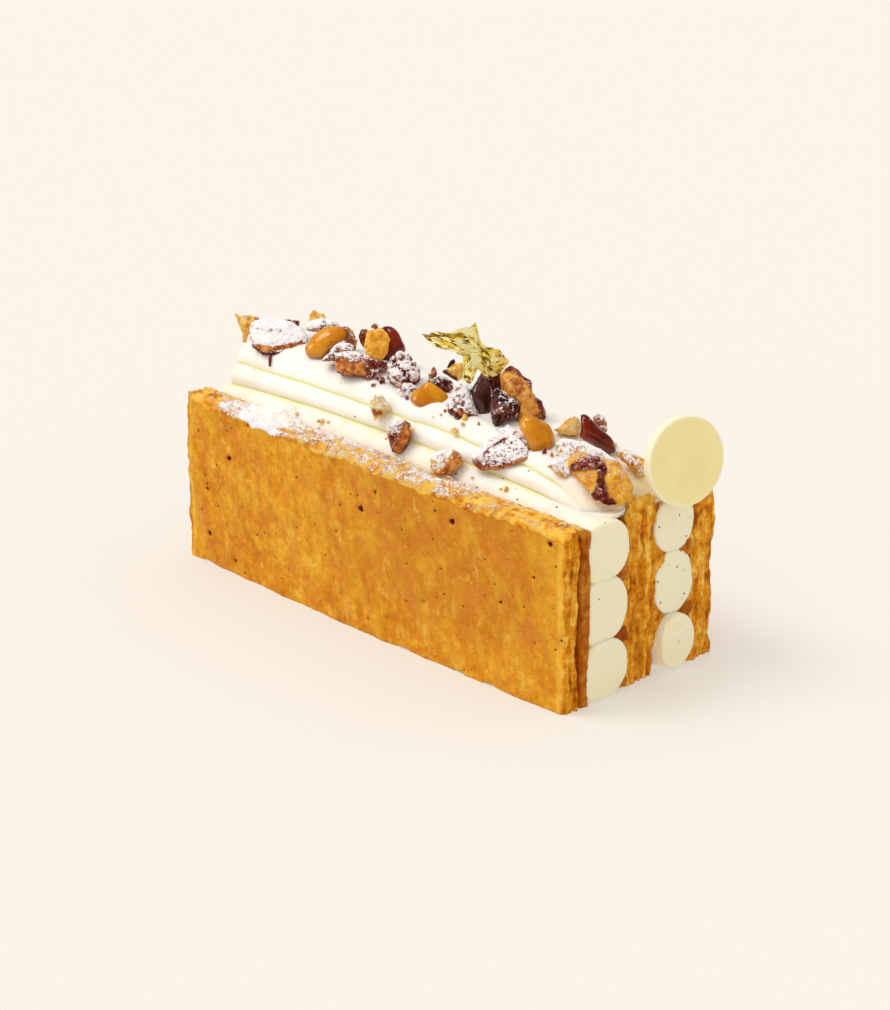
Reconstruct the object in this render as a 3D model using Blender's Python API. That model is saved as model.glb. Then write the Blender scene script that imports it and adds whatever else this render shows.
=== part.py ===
"""Mille feuille slice, resting on its bottom edge.

Three sheets of puff pastry stand on edge, side by side. Two columns of three piped vanilla
cream tubes run between them, a pleated band of white cream lies along the top, and nuts,
caramel, chocolate, a gold leaf and a round white disc sit on that band.

Metres. +X runs along the slice to the end with the disc, -Y is its broad front face, +Z is up.
The origin is in the middle of the footprint, on the surface that the slice stands on.
"""

import math

import bmesh
import bpy
from mathutils import Euler, Matrix, Vector, noise

MM = 0.001

# Driving dimensions
SLICE_LENGTH = 126 * MM
SHEET_HEIGHT = 41 * MM
FRONT_FACE_Y = -24.2 * MM
FRONT_SHEET_THICK = 7.3 * MM
MIDDLE_SHEET_Y = -0.3 * MM
MIDDLE_SHEET_THICK = 9.0 * MM
REAR_FACE_Y = 23.2 * MM
REAR_SHEET_THICK = 7.3 * MM
FRONT_BOW = 1.2 * MM
SPLIT_Y = -19.6 * MM
SPLIT_DEPTH = 3.2 * MM
LAYER_DEPTH = 1.3 * MM
GAP = 0.35 * MM

TUBE_BOTTOMS = (0.4 * MM, 13.55 * MM, 28.05 * MM)
TUBE_TOPS = (13.25 * MM, 27.75 * MM, 43.4 * MM)
TUBE_SQUARENESS = 2.6
TUBE_SIDES = 16
TUBE_TOP_DROP = 2.3 * MM
LOW_TUBE_BULGE = 1.0 * MM

CREAM_LEFT_X = -62.2 * MM
CREAM_RIGHT_X = 62.4 * MM
CREAM_HALF_WIDTH = 13.2 * MM
CREAM_FOOT_Z = 43.8 * MM
CREAM_CROWN_Z = 52.2 * MM
CREAM_RINGS = 22

DISC_RADIUS = 10.0 * MM
DISC_THICK = 2.7 * MM
DISC_CENTRE = Vector((64.5, 10.0, 49.6)) * MM
DISC_AZIMUTH = math.radians(-11)
DISC_LEAN = math.radians(8)

# Colours, linear RGB
PASTRY = (0.62, 0.29, 0.065)
VANILLA = (0.86, 0.78, 0.52)
WHITE_CREAM = (0.92, 0.88, 0.78)
IVORY = (0.87, 0.80, 0.50)
GOLD = (0.83, 0.58, 0.16)
NUT = (0.42, 0.16, 0.06)
DUSTED = (0.66, 0.52, 0.45)
CARAMEL = (0.60, 0.26, 0.045)
CHOCOLATE = (0.07, 0.02, 0.015)
AMBER = (0.75, 0.42, 0.12)


def clear_scene():
    for item in list(bpy.data.objects):
        bpy.data.objects.remove(item, do_unlink=True)


def material(name, colour, roughness, metallic=0.0):
    """A Principled material, made once for each name."""
    found = bpy.data.materials.get(name)
    if found:
        return found
    made = bpy.data.materials.new(name)
    made.use_nodes = True
    shader = made.node_tree.nodes["Principled BSDF"]
    shader.inputs["Base Color"].default_value = (*colour, 1.0)
    shader.inputs["Roughness"].default_value = roughness
    shader.inputs["Metallic"].default_value = metallic
    made.diffuse_color = (*colour, 1.0)
    return made


def add_object(name, mesh_builder, look):
    """Turn a bmesh into a named object with its faces pointing out."""
    bmesh.ops.recalc_face_normals(mesh_builder, faces=mesh_builder.faces[:])
    mesh = bpy.data.meshes.new(name)
    mesh_builder.to_mesh(mesh)
    mesh_builder.free()
    mesh.shade_smooth()
    mesh.set_sharp_from_angle(angle=math.radians(40))
    mesh.materials.append(look)
    bpy.context.collection.objects.link(bpy.data.objects.new(name, mesh))


def smooth_step(low, high, value):
    t = min(1.0, max(0.0, (value - low) / (high - low)))
    return t * t * (3 - 2 * t)


def spread(low, high, count):
    return [low + (high - low) * i / (count - 1) for i in range(count)]


def wobble(x, y, z, size, seed):
    """Smooth noise between about -1 and 1, with features of the given size."""
    return noise.noise(Vector((x / size + seed * 7.3, y / size - seed * 3.1, z / size + seed * 5.7)))


def loft(rings, tips):
    """Join rings of equal length into one skin, and close both ends with a fan."""
    built = bmesh.new()
    rows = [[built.verts.new(point) for point in ring] for ring in rings]
    count = len(rows[0])
    for near, far in zip(rows, rows[1:]):
        for i in range(count):
            j = (i + 1) % count
            built.faces.new((near[i], near[j], far[j], far[i]))
    for row, tip in ((rows[0], tips[0]), (rows[-1], tips[1])):
        centre = built.verts.new(tip)
        for i in range(count):
            built.faces.new((row[i], row[(i + 1) % count], centre))
    return built


def lattice_box(xs, ys, zs, place):
    """The skin of a box cut on three sets of planes, each corner moved by place(x, y, z)."""
    built = bmesh.new()
    counts = (len(xs) - 1, len(ys) - 1, len(zs) - 1)
    corners = {}

    def corner(index):
        if index not in corners:
            i, j, k = index
            corners[index] = built.verts.new(place(xs[i], ys[j], zs[k]))
        return corners[index]

    for axis in range(3):
        first, second = [a for a in range(3) if a != axis]
        for side in (0, counts[axis]):
            for i in range(counts[first]):
                for j in range(counts[second]):
                    loop = []
                    for di, dj in ((0, 0), (1, 0), (1, 1), (0, 1)):
                        index = [0, 0, 0]
                        index[axis] = side
                        index[first] = i + di
                        index[second] = j + dj
                        loop.append(corner(tuple(index)))
                    built.faces.new(loop)
    return built


# Pastry sheets

def add_sheet(name, ys, zs, inner_sides, end_x, bow, split_y, crags, seed):
    """One sheet on edge: layered ends, a crusty top edge and a flat foot.

    inner_sides tells which faces meet cream and so stay flat: -1 the face at low y, +1 at high y.
    """
    y_low, y_high = ys[0], ys[-1]
    middle = (y_low + y_high) / 2
    half_thick = (y_high - y_low) / 2
    xs = [-end_x, -end_x + 2 * MM, -end_x + 6 * MM]
    xs += spread(-end_x + 20 * MM, end_x - 20 * MM, 6)
    xs += [end_x - 6 * MM, end_x - 2 * MM, end_x]

    def place(x, y, z):
        along = x / end_x
        across = (y - middle) / half_thick
        up = z / SHEET_HEIGHT
        end = smooth_step(0.97, 1.0, abs(along))
        layer = ys.index(y) % 2
        depth = layer * 0.55 + 0.45 * (0.5 + wobble(x, y * 3, z, 9 * MM, seed))
        moved_x = x - math.copysign(LAYER_DEPTH * depth * end, x)
        if split_y is not None and abs(y - split_y) < 0.1 * MM:
            moved_x -= math.copysign(SPLIT_DEPTH * end, x)
        moved_y = y
        if abs(across) > 0.99:
            side = round(across)
            relief = 0.22 * MM * wobble(x, y, z, 11 * MM, seed + 2)
            if side in inner_sides:
                moved_y -= side * abs(relief) * 0.6
                moved_y += side * crags(z, side) * smooth_step(0.9, 1.0, abs(along))
            else:
                moved_y += side * (bow * (1 - along * along) + relief * up)
        moved_z = z
        if up > 0.99:
            edge = abs(across) ** 4
            moved_z -= 1.0 * MM * edge
            moved_z += 0.45 * MM * wobble(x, y, z, 6 * MM, seed + 4)
        elif up > 0:
            moved_z += 0.3 * MM * wobble(x, y, z, 8 * MM, seed + 5)
        return moved_x, moved_y, moved_z

    add_object(name, lattice_box(xs, ys, zs, place), material("puff pastry", PASTRY, 0.6))


def no_crags(z, side):
    return 0.0


def cusp_crags(z, side):
    """Pastry flakes that reach into the notch between two tubes at a cut end."""
    reach = 0.0
    for cusp, height in ((13.4 * MM, 1.3 * MM), (27.9 * MM, 2.6 * MM)):
        reach = max(reach, height * max(0.0, 1 - abs(z - cusp) / (2.1 * MM)))
    return reach if side < 0 else reach * 0.5


def add_sheets():
    front_inner = FRONT_FACE_Y + FRONT_SHEET_THICK
    front_ys = spread(FRONT_FACE_Y, SPLIT_Y - 0.7 * MM, 4) + [SPLIT_Y]
    front_ys += spread(SPLIT_Y + 0.5 * MM, front_inner, 3)
    add_sheet("pastry_front", front_ys, spread(0, SHEET_HEIGHT, 11), (1,), SLICE_LENGTH / 2,
              FRONT_BOW, SPLIT_Y, no_crags, 1)
    half = MIDDLE_SHEET_THICK / 2
    middle_ys = spread(MIDDLE_SHEET_Y - half, MIDDLE_SHEET_Y + half, 8)
    middle_zs = [z * MM for z in (0, 4, 8, 11.6, 13.4, 15.2, 18.5, 22.3, 26, 27.9, 29.8, 34, 38, 41)]
    add_sheet("pastry_middle", middle_ys, middle_zs, (-1, 1), SLICE_LENGTH / 2 - 1.2 * MM,
              0.0, None, cusp_crags, 2)
    rear_ys = spread(REAR_FACE_Y - REAR_SHEET_THICK, REAR_FACE_Y, 7)
    add_sheet("pastry_rear", rear_ys, spread(0, SHEET_HEIGHT, 11), (-1,), SLICE_LENGTH / 2 - 0.6 * MM,
              0.7 * MM, None, no_crags, 3)


# Piped vanilla tubes

def column_span(column):
    """The y range of a cream column, held clear of the sheets on both sides."""
    if column == "front":
        return FRONT_FACE_Y + FRONT_SHEET_THICK + GAP, MIDDLE_SHEET_Y - MIDDLE_SHEET_THICK / 2 - GAP
    return MIDDLE_SHEET_Y + MIDDLE_SHEET_THICK / 2 + GAP, REAR_FACE_Y - REAR_SHEET_THICK - GAP


def top_drop(x):
    """How much lower the cream stack is at x than at mid-length."""
    return TUBE_TOP_DROP * (abs(x) / (60 * MM)) ** 2.2


def add_tube(column, level, right_x, bulge=0.0):
    names = ("low", "mid", "top")
    y_low, y_high = column_span(column)
    centre_y = (y_low + y_high) / 2
    left_x = -SLICE_LENGTH / 2 + 1.5 * MM
    ends = [(left_x, 0.72), (left_x + 0.5 * MM, 0.92), (left_x + 2 * MM, 1.0)]
    ends += [(x, 1.0) for x in spread(-40 * MM, 40 * MM, 4)]
    ends += [(right_x - 3.2 * MM, 1.0), (right_x - 1.6 * MM, 1.0)]
    ends += [(right_x - 0.4 * MM, 0.93), (right_x, 0.76)]
    rings = []
    for x, share in ends:
        drop = top_drop(x) if level == 2 else 0.0
        top = TUBE_TOPS[level] - drop
        centre_z = (TUBE_BOTTOMS[level] + top) / 2
        swell = bulge * smooth_step(right_x - 3.2 * MM, right_x - 1.6 * MM, x)
        half_y = (y_high - y_low) / 2 * share + swell
        half_z = (top - TUBE_BOTTOMS[level]) / 2 * share
        rings.append(superellipse_ring(x, (centre_y, centre_z), (half_y, half_z)))
    middle_z = (TUBE_BOTTOMS[level] + TUBE_TOPS[level]) / 2 - (1 * MM if level == 2 else 0.0)
    tips = ((left_x - 0.3 * MM, centre_y, middle_z), (right_x + 0.3 * MM, centre_y, middle_z))
    built = loft(rings, tips)
    add_object(f"cream_{column}_{names[level]}", built, material("vanilla cream", VANILLA, 0.45))


def superellipse_ring(x, centre, half):
    """A squashed round section at x, centre and half sizes given as (y, z)."""
    ring = []
    power = 2 / TUBE_SQUARENESS
    for index in range(TUBE_SIDES):
        angle = 2 * math.pi * (index + 0.5) / TUBE_SIDES
        across = math.copysign(abs(math.cos(angle)) ** power, math.cos(angle))
        upward = math.copysign(abs(math.sin(angle)) ** power, math.sin(angle))
        ring.append((x, centre[0] + half[0] * across, centre[1] + half[1] * upward))
    return ring


def add_tubes():
    end = SLICE_LENGTH / 2
    for level, right_x in enumerate((end + 0.2 * MM, end - 0.2 * MM, end + 0.1 * MM)):
        add_tube("front", level, right_x)
    for level, right_x in enumerate((end + 1.6 * MM, end - 0.2 * MM, end + 0.1 * MM)):
        add_tube("rear", level, right_x, LOW_TUBE_BULGE if level == 0 else 0.0)


# White cream band

def groove_z(x):
    """Height of the crease between the side pleat and the top pleat."""
    if x < 0:
        return 47.5 * MM - 1.6 * MM * (x / (60 * MM)) ** 2
    return 47.5 * MM - 5.2 * MM * (x / (58 * MM)) ** 3


def crown_z(x):
    if x < 0:
        return CREAM_CROWN_Z
    return CREAM_CROWN_Z - 7.4 * MM * (x / (60 * MM)) ** 3


def foot_z(x):
    return CREAM_FOOT_Z - top_drop(x)


def cream_end_round(x):
    """1 along the band, falling to a small share at both rounded ends."""
    from_left = (x - CREAM_LEFT_X) / (5 * MM)
    from_right = (CREAM_RIGHT_X - x) / (7 * MM)
    nearest = min(1.0, max(0.0, min(from_left, from_right)))
    return math.sqrt(1 - (1 - nearest) ** 2)


def arc_points(start, end, bulge, count):
    """Points inside an arc from start to end, pushed outward by bulge at its middle."""
    chord = end - start
    outward = Vector((-chord.y, chord.x)).normalized()
    points = []
    for i in range(1, count + 1):
        t = i / (count + 1)
        points.append(start.lerp(end, t) + outward * bulge * math.sin(math.pi * t) ** 0.8)
    return points


def cream_half_section(x):
    """Front half of the section, as (y, z) from the foot up to the crown's centre line."""
    waver = 0.25 * MM * wobble(x, 0, 0, 16 * MM, 11)
    foot = Vector((-CREAM_HALF_WIDTH + waver, foot_z(x)))
    groove = Vector((-11.1 * MM - waver, groove_z(x)))
    shoulder = Vector((-6.2 * MM, crown_z(x) - 0.4 * MM))
    crest = Vector((0.0, crown_z(x) - 0.3 * MM))
    points = [foot] + arc_points(foot, groove, 1.25 * MM, 3)
    points += [groove] + arc_points(groove, shoulder, 1.5 * MM, 4)
    points += [shoulder] + arc_points(shoulder, crest, 0.5 * MM, 1) + [crest]
    round_off = cream_end_round(x)
    low = foot_z(x)
    width_share = 0.72 + 0.28 * round_off
    height_share = 0.18 + 0.82 * round_off
    return [Vector((p.x * width_share, low + (p.y - low) * height_share)) for p in points]


def cream_top(x, y):
    """Height of the band's surface at (x, y), 0 where there is no band."""
    if not CREAM_LEFT_X < x < CREAM_RIGHT_X:
        return 0.0
    half = cream_half_section(x)
    best = 0.0
    distance = -abs(y)
    for low, high in zip(half, half[1:]):
        if min(low.x, high.x) <= distance <= max(low.x, high.x) and low.x != high.x:
            t = (distance - low.x) / (high.x - low.x)
            best = max(best, low.y + (high.y - low.y) * t)
    return best


def support_top(x, y):
    """Height of what the band lies on: sheets' upper edges and the two top tubes."""
    height = SHEET_HEIGHT + 0.5 * MM
    for column in ("front", "rear"):
        y_low, y_high = column_span(column)
        half = (y_high - y_low) / 2
        offset = abs(y - (y_low + y_high) / 2) / half
        if offset < 1:
            top = TUBE_TOPS[2] - top_drop(x)
            middle = (TUBE_BOTTOMS[2] + top) / 2
            rise = (1 - offset ** TUBE_SQUARENESS) ** (1 / TUBE_SQUARENESS)
            height = max(height, middle + (top - middle) * rise)
    return height


def behind_disc(point):
    """Pull a point of the band back until it is clear of the leaning disc."""
    normal = disc_normal()
    offset = point - DISC_CENTRE
    depth = offset.dot(normal)
    sideways = (offset - normal * depth).length
    limit = -DISC_THICK / 2 - GAP
    if sideways < DISC_RADIUS + 1 * MM and depth > limit:
        point = point - Vector(((depth - limit) / normal.x, 0, 0))
    return point


def add_cream_band():
    rings = []
    inset = [0.0, 0.8, 2.2, 4.5]
    xs = [CREAM_LEFT_X + 0.05 * MM + d * MM for d in inset]
    xs += spread(CREAM_LEFT_X + 10 * MM, CREAM_RIGHT_X - 12 * MM, CREAM_RINGS - 9)
    xs += [CREAM_RIGHT_X - 0.05 * MM - d * MM for d in (7.5, 4.5, 2.2, 0.8, 0.0)]
    for x in xs:
        front = cream_half_section(x)
        rear = [Vector((-p.x, p.y)) for p in reversed(front[:-1])]
        edge = front[0].x
        under = []
        for y in spread(-edge * 0.9, edge * 0.9, 9):
            under.append(Vector((y, support_top(x, y) + GAP)))
        ring = [behind_disc(Vector((x, p.x, p.y))) for p in front + rear + under]
        rings.append(ring)
    tips = []
    for ring, shift in ((rings[0], -0.3 * MM), (rings[-1], 0.2 * MM)):
        centre = sum(ring, Vector()) / len(ring)
        tips.append(centre + Vector((shift, 0, 0)))
    built = loft(rings, tips)
    add_object("cream_white_top", built, material("white cream", WHITE_CREAM, 0.4))


# White disc

def disc_normal():
    level = Vector((math.cos(DISC_AZIMUTH), math.sin(DISC_AZIMUTH), 0))
    return (level * math.cos(DISC_LEAN) + Vector((0, 0, math.sin(DISC_LEAN)))).normalized()


def add_disc():
    """A thin moulded coin with softly rounded rims."""
    bevel = 0.6 * MM
    profile = [(DISC_RADIUS - bevel, -DISC_THICK / 2), (DISC_RADIUS, -DISC_THICK / 2 + bevel),
               (DISC_RADIUS, DISC_THICK / 2 - bevel), (DISC_RADIUS - bevel, DISC_THICK / 2)]
    turn = disc_normal().to_track_quat("Z", "Y").to_matrix()
    rings = []
    for radius, level in profile:
        ring = []
        for i in range(32):
            angle = 2 * math.pi * i / 32
            local = Vector((radius * math.cos(angle), radius * math.sin(angle), level))
            ring.append(DISC_CENTRE + turn @ local)
        rings.append(ring)
    tips = [DISC_CENTRE + turn @ Vector((0, 0, level)) for level in (-DISC_THICK / 2, DISC_THICK / 2)]
    add_object("chocolate_disc", loft(rings, tips), material("ivory chocolate", IVORY, 0.35))


# Toppings: each is a radius in every direction from its own centre

def ellipsoid_radius(way, size):
    return 1 / math.sqrt(sum((2 * way[i] / size[i]) ** 2 for i in range(3)))


def pecan_radius(way, size, seed):
    """A nut half: long, domed, with a furrow along its back and a scalloped rim."""
    radius = ellipsoid_radius(way, size)
    furrow = math.exp(-((way.y / 0.22) ** 2)) * max(0.0, way.z)
    scallop = math.cos(9 * math.atan2(way.y, way.x) + seed) * (1 - abs(way.z))
    radius *= 1 - 0.16 * furrow + 0.05 * scallop
    return radius * (1 + 0.12 * noise.noise(way * 2.3 + Vector((seed, 0, 0))))


def rough_radius(way, size, seed):
    """A caramelised cluster with knobs."""
    lumps = noise.noise(way * 2.1 + Vector((seed * 1.7, seed, 0)))
    knobs = noise.noise(way * 4.7 + Vector((0, seed, seed * 2.1)))
    return ellipsoid_radius(way, size) * (1 + 0.24 * lumps + 0.14 * knobs)


def shard_radius(way, size, seed):
    """A broken wafer or crumb, bounded by tilted flat faces."""
    radius = 10.0
    for i in range(11):
        level = 1 - 2 * (i + 0.5) / 11
        turn = i * 2.4 + seed
        flat = math.sqrt(1 - level * level)
        face = (math.cos(turn) * flat, math.sin(turn) * flat, level)
        bounded = Vector([face[k] / (size[k] / 2) for k in range(3)])
        facing = bounded.dot(way)
        if facing > 0:
            distance = 0.82 + 0.16 * math.sin(seed * 3.7 + i * 5.1)
            radius = min(radius, distance / facing)
    return min(radius, ellipsoid_radius(way, size) * 1.25)


def blob_radius(way, size, seed):
    """A caramel drop: smooth, with one side drawn out."""
    radius = ellipsoid_radius(way, size)
    drawn = math.exp(5 * (way.dot(Vector((0.83, 0.1, 0.55)).normalized()) - 1))
    return radius * (1 + 0.22 * drawn + 0.06 * noise.noise(way * 1.4 + Vector((seed, 0, 0))))


def kiss_radius(way, size, seed):
    """A dropped bead that ends in a point."""
    radius = ellipsoid_radius(way, size) * 0.86
    point = math.exp(9 * (way.dot(Vector((0.12 * math.sin(seed), 0.0, 1.0)).normalized()) - 1))
    return radius * (1 + 0.42 * point)


def nugget_radius(way, size, seed):
    """A flat round crumbly piece."""
    flat = sum(abs(2 * way[i] / size[i]) ** 3.4 for i in range(3)) ** (-1 / 3.4)
    return flat * (1 + 0.08 * noise.noise(way * 4.5 + Vector((0, seed, 0))))


# Name, form, centre, size (length, depth, height), turn (lean to the front, rise, azimuth), fine
# Lengths in millimetres and angles in degrees; a fine piece has four times the facets.
TOPPINGS = (
    ("wafer_shard_left", shard_radius, (-60.2, -7.0, 53.8), (5.2, 2.6, 8.8), (12, -12, 50), False),
    ("pecan_dusted_large", pecan_radius, (-50.6, -5.4, 53.8), (15.8, 9.8, 5.8), (38, 3, 50), True),
    ("nut_brown_left", rough_radius, (-56.0, 3.6, 54.0), (6.5, 5.0, 4.4), (0, 8, 40), False),
    ("wafer_shard_small", shard_radius, (-47.4, 4.2, 57.2), (4.4, 2.4, 4.6), (10, 10, 47), False),
    ("nut_dusted_back", rough_radius, (-44.6, 3.2, 54.8), (8.2, 6.0, 5.6), (5, 0, 50), False),
    ("caramel_long", blob_radius, (-35.4, -3.8, 55.3), (12.0, 7.4, 6.8), (10, 18, 47), True),
    ("nut_brown_centre", rough_radius, (-32.6, 1.2, 56.0), (6.4, 5.2, 5.8), (0, -20, 47), False),
    ("cluster_dusted_small", rough_radius, (-27.6, -6.6, 54.6), (8.6, 6.0, 6.0), (10, 12, 47), False),
    ("nut_dusted_brown", pecan_radius, (-20.4, -6.6, 53.4), (13.0, 7.6, 7.0), (25, -14, 52), True),
    ("nugget_round", nugget_radius, (-19.2, -3.0, 58.6), (6.8, 3.6, 7.4), (-8, 0, 47), True),
    ("nut_brown_nugget", rough_radius, (-24.4, 0.2, 57.4), (4.8, 4.4, 6.4), (0, 0, 47), False),
    ("chocolate_ball", blob_radius, (-19.4, 1.4, 56.4), (7.8, 7.2, 9.2), (0, 0, 47), True),
    ("cluster_dusted_rough", rough_radius, (-8.6, -4.2, 55.2), (8.8, 7.2, 8.6), (10, 0, 47), True),
    ("cluster_foot", rough_radius, (-5.4, -7.2, 52.0), (5.0, 4.0, 4.4), (10, 0, 47), False),
    ("caramel_drop_front", kiss_radius, (1.8, -6.2, 52.5), (11.2, 7.6, 6.8), (12, 8, 47), True),
    ("crumb_dark", shard_radius, (1.8, -1.6, 53.9), (6.0, 4.2, 4.2), (0, -8, 47), False),
    ("wafer_shard_back", shard_radius, (3.4, 2.2, 56.0), (5.8, 2.8, 5.4), (0, 20, 47), False),
    ("nut_dusted_front", rough_radius, (12.8, -6.2, 53.4), (8.4, 7.0, 9.2), (10, 6, 47), True),
    ("chocolate_drop", kiss_radius, (16.4, -2.6, 54.6), (6.8, 6.2, 8.6), (4, 0, 47), True),
    ("nut_dark_dusted", rough_radius, (24.8, -5.2, 53.6), (7.4, 6.0, 8.2), (8, 0, 47), False),
    ("pecan_tall", pecan_radius, (24.2, 0.8, 57.2), (15.0, 7.0, 9.6), (66, -42, 50), True),
    ("caramel_flow", blob_radius, (35.4, -6.6, 51.6), (10.2, 8.0, 9.4), (12, 24, 50), True),
    ("pecan_flat_dusted", pecan_radius, (29.6, -12.2, 49.4), (17.0, 10.0, 3.8), (45, 17, 24), True),
    ("wafer_shard_pale", shard_radius, (37.6, 1.2, 52.8), (8.2, 4.0, 5.0), (16, 14, 47), False),
    ("drop_dark_caramel", kiss_radius, (47.2, 2.4, 52.4), (7.6, 6.8, 12.0), (0, 44, 47), True),
    ("crumbs_dusted", rough_radius, (44.0, 6.6, 52.8), (4.8, 4.2, 5.2), (0, 0, 47), False),
    ("pecan_striped", pecan_radius, (54.6, -7.4, 47.2), (20.6, 12.4, 6.0), (42, -18, 16), True),
    ("crumbs_right", rough_radius, (56.6, 3.0, 48.2), (6.6, 5.4, 5.2), (10, -16, 47), False),
    ("crumb_pale_front", shard_radius, (-6.9, -12.6, 48.4), (6.2, 5.0, 8.0), (14, 0, 47), False),
    ("chunk_brown_front", rough_radius, (2.2, -15.9, 45.2), (6.0, 5.0, 9.6), (14, 22, 47), False),
    ("chunk_dusted_front", shard_radius, (18.8, -16.2, 43.3), (8.8, 6.0, 6.8), (14, 10, 47), False),
)

TOPPING_LOOKS = {
    "wafer": ("amber wafer", AMBER, 0.5),
    "nugget": ("amber wafer", AMBER, 0.5),
    "caramel": ("caramel", CARAMEL, 0.12),
    "drop": ("dark caramel", CHOCOLATE, 0.12),
    "chocolate": ("dark chocolate", CHOCOLATE, 0.25),
    "nut": ("caramelised nut", NUT, 0.5),
    "pecan": ("dusted nut", DUSTED, 0.7),
    "cluster": ("dusted nut", DUSTED, 0.7),
    "crumb": ("amber wafer", AMBER, 0.5),
    "crumbs": ("dusted nut", DUSTED, 0.7),
    "chunk": ("caramelised nut", NUT, 0.5),
}


def floor_under(point):
    """Height of whatever a topping may lie on at this place."""
    height = max(cream_top(point.x, point.y), SHEET_HEIGHT + 0.5 * MM)
    if abs(point.y) < REAR_FACE_Y:
        height = max(height, support_top(point.x, point.y))
    return height


def clear_share(centre, reach):
    """The largest share of reach, from centre, that stays above what lies under it."""
    if (centre + reach).z > floor_under(centre + reach) + GAP:
        clear = [i / 8 for i in range(1, 8)]
        blocked = [s for s in clear if (centre + reach * s).z < floor_under(centre + reach * s) + GAP]
        if not blocked:
            return 1.0
        high = blocked[0]
    else:
        high = 1.0
    low = 0.0
    for _ in range(14):
        share = (low + high) / 2
        if (centre + reach * share).z > floor_under(centre + reach * share) + GAP:
            low = share
        else:
            high = share
    return low


def topping_points(row, seed):
    """Directions and reaches of one topping, before its neighbours are considered."""
    name, form, centre, size, turn, fine = row
    centre = Vector(centre) * MM
    rotation = Euler([math.radians(a) for a in (turn[0], -turn[1], turn[2])], "XYZ").to_matrix()
    ball = bmesh.new()
    bmesh.ops.create_icosphere(ball, subdivisions=3 if fine else 2, radius=1.0)
    reaches = []
    for vert in ball.verts:
        way = vert.co.normalized()
        reach = rotation @ (way * form(way, Vector(size) * MM, seed))
        reaches.append(reach * clear_share(centre, reach))
    return ball, centre, reaches


def cut_between(first, second):
    """Shorten the reaches of two neighbours so that a plane with a gap parts them."""
    _, centre_a, reaches_a = first
    _, centre_b, reaches_b = second
    between = centre_b - centre_a
    distance = between.length
    normal = between / distance
    widest_a = max(reach.dot(normal) for reach in reaches_a)
    widest_b = max(-reach.dot(normal) for reach in reaches_b)
    if widest_a + widest_b + GAP < distance:
        return
    plane = distance * widest_a / (widest_a + widest_b)
    rooms = ((reaches_a, 1, plane - GAP / 2), (reaches_b, -1, distance - plane - GAP / 2))
    for reaches, sign, limit in rooms:
        for i, reach in enumerate(reaches):
            along = reach.dot(normal) * sign
            if along > limit:
                reaches[i] = reach * (limit / along)


def cut_at_disc(piece):
    """Keep a topping behind the leaning disc."""
    _, centre, reaches = piece
    normal = disc_normal()
    room = -(centre - DISC_CENTRE).dot(normal) - DISC_THICK / 2 - GAP
    for i, reach in enumerate(reaches):
        along = reach.dot(normal)
        if along > room:
            reaches[i] = reach * (room / along)


def add_toppings():
    pieces = [topping_points(row, seed + 1) for seed, row in enumerate(TOPPINGS)]
    for i, first in enumerate(pieces):
        for second in pieces[i + 1:]:
            cut_between(first, second)
    for row, piece in zip(TOPPINGS, pieces):
        cut_at_disc(piece)
        ball, centre, reaches = piece
        for vert, reach in zip(ball.verts, reaches):
            vert.co = centre + reach
        look = TOPPING_LOOKS[row[0].split("_")[0]]
        add_object(row[0], ball, material(*look))


# Gold leaf

LEAF_CENTRE = Vector((16.4, -4.4, 65.4)) * MM
LEAF_THICK = 0.35 * MM
LEAF_AZIMUTH = math.radians(47)
LEAF_RINGS = (0.36, 0.7, 1.0)
# Outline round the pinched centre: angle in degrees and radius in millimetres
LEAF_OUTLINE = (
    (-177, 3.6), (-140, 4.7), (-124, 7.1), (-106, 8.0), (-95, 3.4), (-78, 5.7), (-63, 6.9), (-45, 6.9),
    (-19, 7.4), (9, 4.3), (32, 1.9), (78, 1.9), (97, 6.7), (131, 7.2), (153, 10.2), (163, 13.1), (172, 10.6),
)


def leaf_fold(x, z):
    """Out-of-plane height of the crumpled leaf."""
    broad = 1.3 * MM * math.sin(x / (2.3 * MM) + z / (5 * MM))
    fine = 0.7 * MM * math.sin(z / (1.5 * MM) - x / (3.4 * MM))
    return (broad + fine) * min(1.0, math.hypot(x, z) / (3 * MM))


def leaf_corner(x, z, side):
    """A point of the leaf, side is -1 for its front face and 1 for its back face."""
    local = Vector((x, leaf_fold(x, z) + side * LEAF_THICK / 2, z))
    return LEAF_CENTRE + Matrix.Rotation(LEAF_AZIMUTH, 3, "Z") @ local


def leaf_spokes():
    """The outline's own corners, with one more spoke between each two."""
    spokes = []
    for i, (angle, radius) in enumerate(LEAF_OUTLINE):
        next_angle, next_radius = LEAF_OUTLINE[(i + 1) % len(LEAF_OUTLINE)]
        if next_angle < angle:
            next_angle += 360
        spokes.append((math.radians(angle), radius * MM))
        spokes.append((math.radians((angle + next_angle) / 2), (radius + next_radius) / 2 * MM))
    return spokes


def add_gold_leaf():
    """Both faces share one fan of spokes, so their triangles match across the thickness."""
    built = bmesh.new()
    spokes = leaf_spokes()
    count = len(spokes)
    rims = []
    for side in (-1, 1):
        centre = built.verts.new(leaf_corner(0, 0, side))
        rows = []
        for share in LEAF_RINGS:
            row = []
            for angle, radius in spokes:
                x = radius * share * math.cos(angle)
                z = radius * share * math.sin(angle)
                row.append(built.verts.new(leaf_corner(x, z, side)))
            rows.append(row)
        for i in range(count):
            j = (i + 1) % count
            built.faces.new((centre, rows[0][i], rows[0][j]))
            for near, far in zip(rows, rows[1:]):
                built.faces.new((near[i], far[i], far[j]))
                built.faces.new((near[i], far[j], near[j]))
        rims.append(rows[-1])
    for i in range(count):
        j = (i + 1) % count
        built.faces.new((rims[0][i], rims[1][i], rims[1][j], rims[0][j]))
    add_object("gold_leaf", built, material("gold leaf", GOLD, 0.25, 1.0))


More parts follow.
